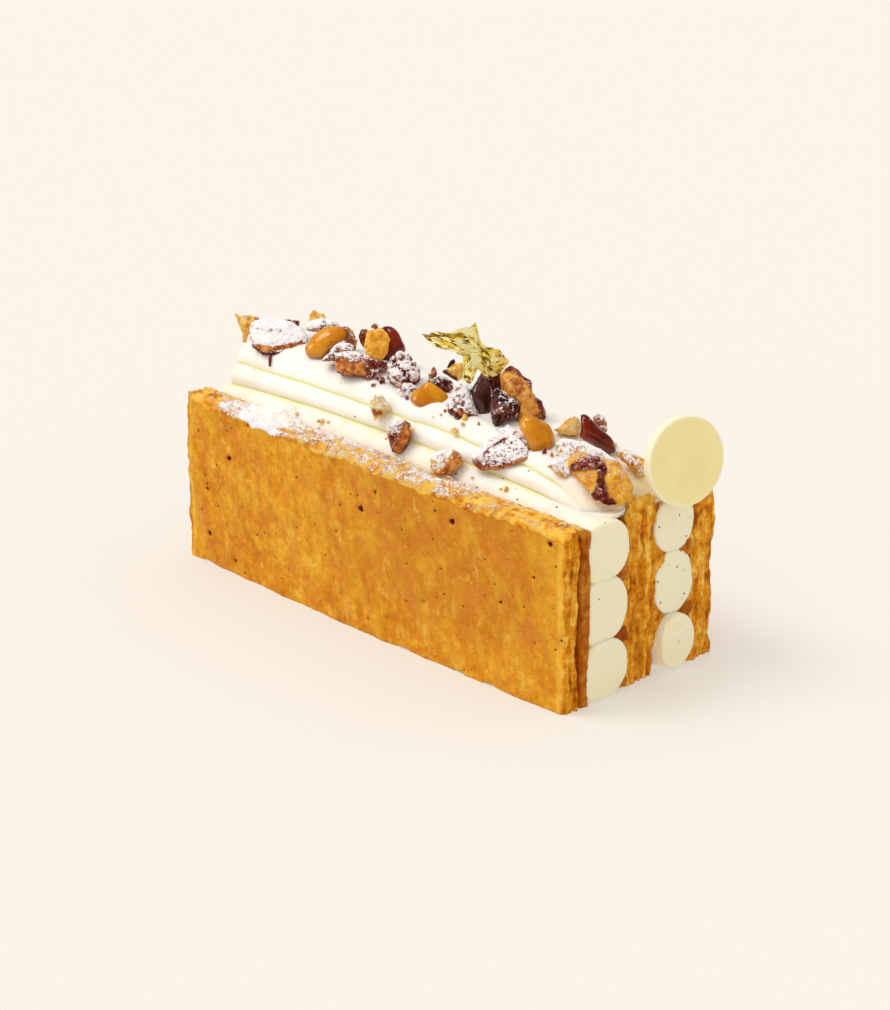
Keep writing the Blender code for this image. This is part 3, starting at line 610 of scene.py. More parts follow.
def pastry_sheet(name, look, node, span, end_x, bow, inner, split_y, flare, crest, reach_out, seed, steps):
    """One sheet on edge: a rippled baked face, torn layered ends and a crumbly top edge."""
    y_low, y_high, end_x = span[0] * MM, span[1] * MM, end_x * MM
    ys = np.linspace(y_low, y_high, steps[1])
    zs = np.linspace(0, SHEET_HEIGHT, steps[2])
    base, quads = box_skin(end_weighted(end_x, steps[0]), ys, zs)
    x, y, z = base.T
    along = x / end_x
    beside = np.abs(along)
    across = (y - (y_low + y_high) / 2) / ((y_high - y_low) / 2)
    up = z / SHEET_HEIGHT
    end = step(0.945, 1.0, beside)
    side = np.sign(across)
    is_broad = np.abs(across) > 0.999
    outer = is_broad & ~np.isin(side, inner)
    inner_face = is_broad & ~outer

    # Torn ends, read on planes of constant y so that whole leaves stand proud or fall back
    wander = 0.35 * MM * soft_noise(base, (EVEN, 4, 7), seed)
    leaf_place = np.stack([np.sign(x) * 0.05, y + wander, z], -1)
    leaves = crumb_noise(leaf_place, (EVEN, 0.75, 11), seed + 3, 2)
    torn = crumb_noise(leaf_place, (EVEN, 1.1, 2.6), seed + 5, 3)
    recess = LAYER_DEPTH * np.clip(0.45 + 0.45 * leaves + 0.55 * torn, 0.0, 1.5)
    # Painted shade: darker where a leaf falls back and in the split; the right end's inner leaf past the
    # split is darkened too
    deep_shade = step(0.6, 1.2, recess / LAYER_DEPTH) * 0.62
    if split_y is not None:
        split_y = split_y * MM
        gap = bell(y - split_y - wander * 0.8, 0.42 * MM) * (0.55 + 0.45 * step(0.98, 0.8, up))
        recess = recess + SPLIT_DEPTH * gap
        deep_shade = np.maximum(deep_shade, gap)
        inward = step(split_y - 0.2 * MM, split_y + 0.6 * MM, y)
        recess = recess * (1 - 0.55 * inward * (x > 0))
        deep_shade = np.maximum(deep_shade, 0.6 * inward * (x > 0))
    moved_x = x - np.sign(x) * recess * end + reach_out * MM * step(0.9, 1.0, along)

    # Broad faces
    slanted = np.stack([x + 0.5 * z, y * 0, z], -1)
    ripple = soft_noise(slanted, (3.4, EVEN, 9), seed + 7) * 0.2
    ripple = ripple + soft_noise(slanted, (7, EVEN, 15), seed + 8) * 0.3
    relief = (ripple + crumb_noise(base, 1.1, seed + 9, 2) * 0.07 - 0.12) * MM
    hole = np.zeros(len(x))
    if node == "pastry_front":
        own_relief, hole = dents_and_holes(base, outer, seed + 13)
        relief = relief + own_relief
    crumbly = step(0.93, 1.0, up) + 0.5 * step(0.035, 0.0, up) + 0.7 * end
    relief = relief + 0.22 * MM * crumbly * crumb_noise(base, 1.5, seed + 15, 3)
    moved_y = y + np.where(outer, side * (bow * MM * (1 - along * along) + relief), 0.0)
    moved_y += np.where(inner_face, -side * 0.05 * MM, 0.0)
    top_crags = 0.0
    if crest:
        jagged = np.abs(soft_noise(np.stack([x, y, z * 0], -1), 1.0, seed + 19))
        top_crags = crest * step(0.966, 0.982, along) * (0.2 + 0.8 * jagged)
        widened = flare * MM * step(-4 * MM, 14 * MM, z)
        widened = widened * (1 + 0.5 * soft_noise(base, (EVEN, EVEN, 4.5), seed + 17))
        moved_y += widened * np.clip(across, 0, 1) ** 2 * step(0.9, 1.0, along)
        grown = cusp_crags(z, side) * (1 + 0.35 * soft_noise(base, 1.2, seed + 21))
        moved_y += np.where(inner_face, side * grown * step(0.9, 1.0, beside), 0.0)

    # Top edge: rounded over, ridged along the leaves and chipped
    edge_place = np.stack([x, y + 0.3 * MM * soft_noise(base, (5, EVEN, EVEN), seed + 23), z * 0], -1)
    ridges = crumb_noise(edge_place, (5, 0.8, EVEN), seed + 25, 2)
    crumbs = crumb_noise(edge_place, 1.3, seed + 27, 3)
    chips = step(0.15, 0.7, soft_noise(edge_place, (3.4, 6, EVEN), seed + 29))
    chips = chips * step(0.55, 1.0, np.abs(across))
    top = -1.0 * np.abs(across) ** 4 + 0.45 * ridges + 0.4 * crumbs - 0.7 * chips
    top -= 0.9 * step(0.965, 1.0, beside) * np.abs(crumbs)
    moved_z = z + (top + top_crags) * MM * step(0.93, 1.0, up)
    foot_chips = step(0.35, 0.8, soft_noise(edge_place, (4.6, 6, EVEN), seed + 31))
    moved_z += 0.7 * MM * foot_chips * (z < 1e-6) * np.abs(across) ** 6
    points = np.stack([moved_x, moved_y, np.maximum(moved_z, 0)], -1)

    # Where the skin is torn, browned, dusted or pale, and where its ends get painted shade
    end_mark = step(0.985, 0.999, beside)
    top_mark = step(0.962, 0.985, up + 0.012 * crumb_noise(base, 1.6, seed + 33, 2))
    cut = np.where(inner_face, 1.0, np.maximum(end_mark, top_mark))
    brown = step(-30 * MM, 20 * MM, x) * step(64 * MM, 48 * MM, x) * 0.6 * step(2 * MM, 16 * MM, z)
    dusted = 0.09 + 0.13 * step(-58 * MM, -44 * MM, x) - 0.14 * step(24 * MM, 50 * MM, x)
    sugar = top_mark * (dusted + 0.05 * soft_noise(base, 5, seed + 35))
    sugar += 0.5 * bell(x + 35 * MM, 5 * MM) * step(0.93, 0.99, up) * outer
    sugar += 0.35 * bell(x + 37 * MM, 9 * MM) * top_mark
    pale = 0.8 * step(0.955, 0.975, beside) * (1 - end_mark) * outer
    pale = pale * (0.6 + 0.4 * soft_noise(base, 3, seed + 37))
    pale = np.maximum(pale, 0.7 * top_mark * step(-0.2, 0.4, soft_noise(base, 1.4, seed + 39)))
    raised = np.clip(0.25 * ridges + 0.3 * crumbs, -0.4, 0.4) * top_mark
    marks = {"cut": cut, "deep_shade": deep_shade * end_mark, "hole": hole, "brown": brown,
             "sugar": sugar, "pale": pale, "raised": raised}
    add_piece(name, points, quads, look, node, marks=marks)


# Piped vanilla tubes

TUBE_BOTTOMS = (0.4, 13.55, 28.05)
TUBE_TOPS = (13.25, 27.75, 43.4)
COLUMN_SPANS = {"front": (-16.55, -5.15), "rear": (4.55, 15.55)}
TUBE_ENDS = {"front": (63.7, 63.3, 63.5), "rear": (63.9, 62.2, 62.1)}
TUBE_LEFT = -61.5
CONTACT = 0.42
MERGE = 0.5
TUBE_SIDES = 96


def top_drop(x):
    """How much lower the cream stack is at x mm than at mid-length."""
    return 2.3 * (np.abs(x) / 60) ** 2.2


def tube_section(x, centre, half, square, left_square):
    """A ring round the tube: square 2 is an ellipse, more is nearer to a box, and the left has its own."""
    angle = circle(TUBE_SIDES, 0.5)
    c, s = np.cos(angle), np.sin(angle)
    power = 2 / np.where(c < 0, left_square, square)
    across = np.sign(c) * np.abs(c) ** power
    upward = np.sign(s) * np.abs(s) ** power
    return np.stack([np.full(TUBE_SIDES, x), centre[0] + half[0] * across, centre[1] + half[1] * upward], -1)


def tube_stations(right):
    """Where the rings of a tube stand, and each ring's share of the full size."""
    stations = [(TUBE_LEFT - 0.3 * (1 - t), t * 0.8) for t in np.linspace(0, 0.9, 9)]
    for angle in np.linspace(0, math.pi / 2, 8):
        stations.append((TUBE_LEFT + 1.4 * (1 - math.cos(angle)), 0.76 + 0.24 * math.sin(angle)))
    stations += [(x, 1.0) for x in np.linspace(TUBE_LEFT + 3, right - 3, 46)]
    for angle in np.linspace(math.pi / 2, 0, 10):
        stations.append((right - 0.8 * (1 - math.cos(angle)), 0.91 + 0.09 * math.sin(angle)))
    return stations + [(right + 0.2 * (1 - t * t), t * 0.91) for t in np.linspace(0.95, 0, 18)]


def piped_tube(column, level, look):
    """One tube with softly rounded rims and a smoothed, slightly domed end."""
    name = f"{column}_{('low', 'mid', 'top')[level]}"
    in_front = column == "front"
    right = TUBE_ENDS[column][level]
    y_low, y_high = COLUMN_SPANS[column]
    middle_y, half_y = (y_low + y_high) / 2, (y_high - y_low) / 2
    rows = []
    for x, share in tube_stations(right):
        drop = top_drop(x) if level == 2 else 0.0
        top = TUBE_TOPS[level] - drop + (MERGE if level < 2 else 0.15)
        bottom = TUBE_BOTTOMS[level] - (MERGE if level else 0.0)
        half_width, half_height = (half_y + CONTACT) * share, (top - bottom) / 2 * share
        near_end = step(right - 7, right - 1, x)
        pressed = step(right - 4, right - 0.6, x)
        left_square = 2.6 + (1.7 * near_end if in_front else -0.3 * near_end)
        lean, slimmer = (-0.35 * pressed, 0.0) if in_front else (0.7 * pressed, 0.5 * near_end)
        if name == "rear_low":
            half = (half_width - slimmer, half_height - slimmer * share)
        else:
            half = (half_width + abs(lean) - slimmer, half_height)
        centre = (middle_y + lean, (bottom + top) / 2)
        rows.append(tube_section(x, centre, half, 2.6 - 0.45 * near_end, left_square))
    points, quads = tube_skin(rows)
    points = points * MM
    at_end = step(right - 3, right - 0.8, points[:, 0] / MM)
    seed = 60 + level * 5 + (not in_front) * 31
    lumps = soft_noise(points, (EVEN, 4.5, 3.2), seed) * 0.16
    lumps = lumps + crumb_noise(points, (EVEN, 1.6, 0.9), seed + 1, 2) * 0.06
    points[:, 0] += at_end * lumps * MM
    round_lumps = soft_noise(points, (5, 4, 4), seed + 2) * 0.14 * MM
    points[:, 2] += round_lumps * (points[:, 2] > 1 * MM)
    points[:, 1] += at_end * 0.3 * MM * soft_noise(points, (EVEN, 3.5, 3.5), seed + 3)
    # crease_shade: painted shade, yellower low on the ends, in the rear tubes' dimples, in the notches by the
    # rims and along the line under the band's foot
    crease_shade = 0.16 * at_end * step(12, 4, points[:, 2] / MM)
    if name == "rear_low":
        spot = np.hypot(points[:, 1] - 7.9 * MM, points[:, 2] - 11.2 * MM)
        points[:, 0] -= at_end * 0.7 * MM * bell(spot, 1.1 * MM)
        crease_shade += at_end * 0.55 * bell(spot, 1.2 * MM)
    if name == "rear_mid":
        spot = np.hypot(points[:, 1] - 7.4 * MM, (points[:, 2] - 25.6 * MM) * 1.2)
        points[:, 0] -= at_end * 0.35 * MM * bell(spot, 1.2 * MM)
        crease_shade += at_end * 0.35 * bell(spot - 1.2 * MM, 0.5 * MM)
    x, y, z = points.T / MM
    beside = np.abs(y - middle_y) / half_y
    from_middle = np.abs(z - (TUBE_BOTTOMS[level] + TUBE_TOPS[level]) / 2) / 6.5
    crease_shade += 0.6 * step(0.75, 1.0, beside) * step(0.7, 1.0, from_middle) * step(right - 9, right - 2, x)
    if name == "front_top":
        crease_shade *= step(43, 41, z)
        crease_shade += 0.7 * bell(y + 13.35, 0.36) * step(38, 40, z) * step(56, 40, x)
    points[:, 2] = np.maximum(points[:, 2], 0.0)
    add_piece(f"piped_{name}", points, quads, look, f"cream_{name}", sealed=True,
              marks={"crease_shade": np.clip(crease_shade, 0, 1), "smoothed": at_end})


# White cream band

CREAM_LEFT_X, CREAM_RIGHT_X = -62.2, 62.4
DISC_RADIUS, DISC_THICK, DISC_BEVEL = 10.0, 2.3, 0.65
DISC_SIDES = 112
DISC_CENTRE = np.array([64.5, 10.0, 49.6])
DISC_AZIMUTH, DISC_LEAN = math.radians(-11), math.radians(8)
DISC_NORMAL = np.array([math.cos(DISC_AZIMUTH) * math.cos(DISC_LEAN),
                        math.sin(DISC_AZIMUTH) * math.cos(DISC_LEAN), math.sin(DISC_LEAN)])
DISC_CENTRE = DISC_CENTRE + 0.2 * DISC_NORMAL


def groove_z(x):
    return 47.5 - 1.6 * (x / 60) ** 2 if x < 0 else 47.5 - 5.2 * (x / 58) ** 3


def crown_z(x):
    return 52.2 if x < 0 else 52.2 - 7.4 * (x / 60) ** 3


def foot_z(x):
    return 43.3 - top_drop(x) - 0.45 * step(44, 57, x)


def cream_end_round(x):
    nearest = min(1.0, max(0.0, min((x - CREAM_LEFT_X) / 5, (CREAM_RIGHT_X - x) / 7)))
    return math.sqrt(1 - (1 - nearest) ** 2)


def pleat_arc(start, end, bulge, count):
    """Points from start towards end, pushed outward most at the middle."""
    t = np.arange(count)[:, None] / count
    chord = end - start
    outward = np.array([-chord[1], chord[0]]) / np.hypot(*chord)
    return start + chord * t + outward * bulge * np.sin(np.pi * t) ** 0.7


def waver(x, size, seed):
    """Slow noise along the slice, at x mm."""
    return soft_noise(np.array([[x * MM, 0, 0]]), size, seed)[0]


def cream_half_section(x):
    """Front half of the section as (y, z) in mm, and how near each point is to the foot or the groove of the
    pleats, where the creases get painted shade.
    """
    sway = 0.25 * waver(x, 16, 11)
    swell = 1 + 0.12 * waver(x, 11, 12)
    settled = 1 - 0.85 * step(44, 57, x)
    low = foot_z(x)
    foot = np.array([-12.8 + sway, low])
    groove = np.array([-11.1 - sway, groove_z(x) + 0.45 * waver(x, 8, 13)])
    shoulder = np.array([-6.2, crown_z(x) - 0.4])
    crest = np.array([0.0, crown_z(x) - 0.3])
    low_pleat = pleat_arc(foot, groove, 1.05 * swell * settled, 16)
    top_pleat = pleat_arc(groove, shoulder, 1.5 * swell * settled, 18)
    points = np.concatenate([low_pleat, top_pleat, pleat_arc(shoulder, crest, 0.5, 8), crest[None]])
    crease_shade = np.zeros(len(points))
    for spot, width in ((foot, 0.6), (groove, 0.36)):
        crease_shade = np.maximum(crease_shade, bell(np.hypot(*(points - spot).T), width))
    round_off = cream_end_round(x)
    points[:, 0] *= 0.72 + 0.28 * round_off
    thin = 0.18 if x < 0 else 0.05
    sunk = 0.75 * step(52, 61, x) * step(-5.0, -8.5, points[:, 0])
    points[:, 1] = low + (points[:, 1] - low) * (thin + (1 - thin) * round_off) * (1 - sunk)
    return points, crease_shade * round_off * settled ** 2


def support_top(x, y):
    """Height in mm of what the band lies on."""
    height = 41.4
    for y_low, y_high in COLUMN_SPANS.values():
        offset = abs(y - (y_low + y_high) / 2) / ((y_high - y_low) / 2)
        if offset < 1:
            top = TUBE_TOPS[2] - top_drop(x)
            middle = (TUBE_BOTTOMS[2] + top) / 2
            height = max(height, middle + (top - middle) * (1 - offset ** 2.6) ** (1 / 2.6))
    return height


def closing_rings(ring, shift):
    """Ever smaller rings that close an end, their centre shift mm along."""
    centre = ring.mean(0) + [shift, 0, 0]
    return [centre + (ring - centre) * s for s in (0.7, 0.4, 0.0)]


def white_band(look):
    """The pleated cream along the top, its underside lying on the tubes and the middle sheet."""
    left_xs = CREAM_LEFT_X + 0.05 + 5 * np.linspace(0, 1, 12) ** 1.8
    right_xs = CREAM_RIGHT_X - 0.05 - 7.4 * np.linspace(1, 0, 16) ** 1.8
    rows, crease_shades = [], []
    for x in np.concatenate([left_xs, np.linspace(-56.5, 54.5, 150), right_xs]):
        front, crease_shade = cream_half_section(x)
        rear = front[-2::-1] * [-1, 1]
        edge = front[0, 0] * 0.95
        under = np.array([(y, support_top(x, y) + 0.1) for y in np.linspace(-edge, edge, 19)])
        section = np.concatenate([front, rear, under])
        rows.append(np.column_stack([np.full(len(section), x), section]))
        # painted shade in the pleats' creases, none on the underside
        crease_shades.append(np.concatenate([crease_shade, crease_shade[-2::-1], np.zeros(len(under))]))
    no_crease_shade = [crease_shades[0] * 0] * 3
    rows = closing_rings(rows[0], -0.3)[::-1] + rows + closing_rings(rows[-1], 0.2)
    points, quads = tube_skin(rows)
    crease_shade = np.concatenate(no_crease_shade + crease_shades + no_crease_shade)
    spot = points * MM
    above = step(42.5, 44.5, points[:, 2])
    points[:, 2] += above * (0.16 * soft_noise(spot, (9, 3, 3), 71) + 0.05 * soft_noise(spot, 1.6, 72))
    points[:, 1] += above * 0.12 * soft_noise(spot, (7, 3, 3), 73)
    points[:, 0] -= 2.4 * step(57.5, 62.4, points[:, 0]) * bell(points[:, 1] + 0.3, 4.6)

    # Cream that would reach into the disc is pushed back to its rear face
    offset = points - DISC_CENTRE
    depth = offset @ DISC_NORMAL
    sideways = np.linalg.norm(offset - depth[:, None] * DISC_NORMAL, axis=1)
    limit = -DISC_THICK / 2 - 0.05
    blocked = (sideways < DISC_RADIUS + 1) & (depth > limit)
    points[blocked, 0] -= (depth[blocked] - limit) / DISC_NORMAL[0]
    add_piece("white_cream_band", points * MM, quads, look, "cream_white_top", sealed=True,
              marks={"crease_shade": crease_shade, "smoothed": 0.7 * step(44, 60, points[:, 0])})


# White disc

def round_disc(look):
    """A moulded coin with rounded rims and a slightly hollow face."""
    flat_radius, half = DISC_RADIUS - DISC_BEVEL, DISC_THICK / 2
    profile = [(r, -half) for r in np.linspace(0, flat_radius, 8)]
    for middle, start in ((DISC_BEVEL - half, -90), (half - DISC_BEVEL, 0)):
        for angle in np.radians(np.linspace(start, start + 90, 8)):
            out, level = DISC_BEVEL * math.cos(angle), DISC_BEVEL * math.sin(angle)
            profile.append((flat_radius + out, middle + level))
    profile += [(r, half - 0.05 * (1 - (r / DISC_RADIUS) ** 2)) for r in np.linspace(flat_radius, 0, 12)[1:]]
    turn = np.array(Vector(DISC_NORMAL).to_track_quat("Z", "Y").to_matrix())
    angle = circle(DISC_SIDES)
    rows, rim = [], []
    for radius, level in profile:
        local = np.stack([radius * np.cos(angle), radius * np.sin(angle), np.full(DISC_SIDES, level)], -1)
        rows.append(DISC_CENTRE + local @ turn.T)
        rim += [step(DISC_RADIUS - 0.75, DISC_RADIUS - 0.35, radius)] * DISC_SIDES
    points, quads = tube_skin(rows)
    add_piece("white_disc", points * MM, quads, look, "chocolate_disc", marks={"rim": rim}, sealed=True)


# Toppings

def refined(node, levels):
    """The node's own shape, rounded and cut finer: points and faces."""
    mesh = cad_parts[node].data.copy()
    merge_corners(mesh, 2e-6)
    shape = bpy.data.objects.new("shape", mesh)
    bpy.context.collection.objects.link(shape)
    shape.modifiers.new("rounding", "SUBSURF").levels = levels
    graph = bpy.context.evaluated_depsgraph_get()
    smooth = bpy.data.meshes.new_from_object(shape.evaluated_get(graph))
    points = np.zeros(len(smooth.vertices) * 3)
    smooth.vertices.foreach_get("co", points)
    faces = np.array([tuple(p.vertices) for p in smooth.polygons])
    bpy.data.objects.remove(shape)
    bpy.data.meshes.remove(mesh)
    bpy.data.meshes.remove(smooth)
    return points.reshape(-1, 3), faces


def knobs(points, seed):
    """Lumpy caramelised cluster, in mm."""
    return 0.42 * crumb_noise(points, 2.4, seed, 2) + 0.5 * (0.5 - fold_noise(points, 1.1, seed + 2)) \
        + 0.26 * soft_noise(points, 0.55, seed + 3)


def crisp(points, seed):
    """Porous wafer or crumb, in mm."""
    return 0.2 * crumb_noise(points, 1.2, seed, 2) + 0.3 * (0.4 - fold_noise(points, 0.8, seed + 1))


def flowing(points, seed):
    return 0.07 * soft_noise(points, 3.0, seed)


FORMS = {"knobs": knobs, "crisp": crisp, "flowing": flowing}

# Node, form of relief, its strength, material, cover of icing sugar, fineness, levelness of its faces and
# raggedness of its edge
TOPPINGS = (
    ("wafer_shard_left", "crisp", 0.8, "amber wafer", 0.12, 3, 0.6, 0.08),
    ("pecan_dusted_large", "crisp", 1.0, "sugared nut", 0.60, 2, 0.9, 0.06),
    ("nut_brown_left", "knobs", 0.5, "brown nut", 0.2, 2, 1.0, 0.1),
    ("wafer_shard_small", "crisp", 0.8, "amber wafer", 0.18, 2, 0.6, 0.08),
    ("nut_dusted_back", "knobs", 0.8, "sugared nut", 0.46, 2, 1.0, 0.1),
    ("caramel_long", "flowing", 1.0, "soft caramel", 0.0, 1, 1.0, 0.0),
    ("nut_brown_centre", "knobs", 0.6, "brown nut", 0.16, 2, 1.0, 0.1),
    ("cluster_dusted_small", "knobs", 1.1, "sugared nut", 0.44, 3, 1.0, 0.14),
    ("nut_dusted_brown", "knobs", 0.7, "brown nut", 0.34, 2, 0.8, 0.12),
    ("nugget_round", "crisp", 0.9, "honey nugget", -0.2, 3, 0.4, 0.1),
    ("nut_brown_nugget", "knobs", 0.8, "brown nut", 0.20, 2, 1.0, 0.1),
    ("chocolate_ball", "flowing", 0.6, "dark caramel glaze", 0.0, 1, 1.0, 0.0),
    ("cluster_dusted_rough", "knobs", 1.3, "sugared nut", 0.42, 2, 1.0, 0.14),
    ("cluster_foot", "knobs", 1.1, "sugared nut", 0.42, 3, 1.0, 0.14),
    ("caramel_drop_front", "flowing", 1.0, "soft caramel", 0.0, 1, 1.0, 0.0),
    ("crumb_dark", "knobs", 0.9, "burnt crumb", 0.2, 2, 1.0, 0.12),
    ("wafer_shard_back", "crisp", 0.7, "amber wafer", 0.12, 2, 0.7, 0.08),
    ("nut_dusted_front", "knobs", 0.9, "sugared nut", 0.42, 2, 1.0, 0.1),
    ("chocolate_drop", "flowing", 1.0, "dark chocolate drop", 0.02, 1, 1.0, 0.0),
    ("nut_dark_dusted", "knobs", 1.2, "burnt crumb", 0.18, 3, 1.0, 0.14),
    ("pecan_tall", "crisp", 0.9, "amber nut toasted", 0.14, 2, 0.8, 0.08),
    ("caramel_flow", "flowing", 1.2, "soft caramel", 0.0, 1, 1.0, 0.0),
    ("pecan_flat_dusted", "crisp", 1.1, "sugared nut", 0.46, 2, 0.8, 0.08),
    ("wafer_shard_pale", "crisp", 0.6, "amber wafer pale", 0.12, 2, 0.7, 0.08),
    ("drop_dark_caramel", "flowing", 0.8, "dark caramel glaze", 0.0, 1, 1.0, 0.0),
    ("crumbs_dusted", "knobs", 1.0, "brown nut", 0.34, 2, 1.0, 0.12),
    ("pecan_striped", "crisp", 0.3, "amber nut", 0.16, 3, 0.7, 0.04),
    ("crumbs_right", "knobs", 1.0, "amber nut", 0.34, 2, 1.0, 0.14),
    ("crumb_pale_front", "crisp", 1.3, "amber wafer pale", 0.36, 2, 0.8, 0.12),
    ("chunk_brown_front", "crisp", 0.8, "brown nut", 0.38, 2, 1.0, 0.08),
    ("chunk_dusted_front", "crisp", 0.9, "amber nut", 0.46, 2, 0.8, 0.08),
)

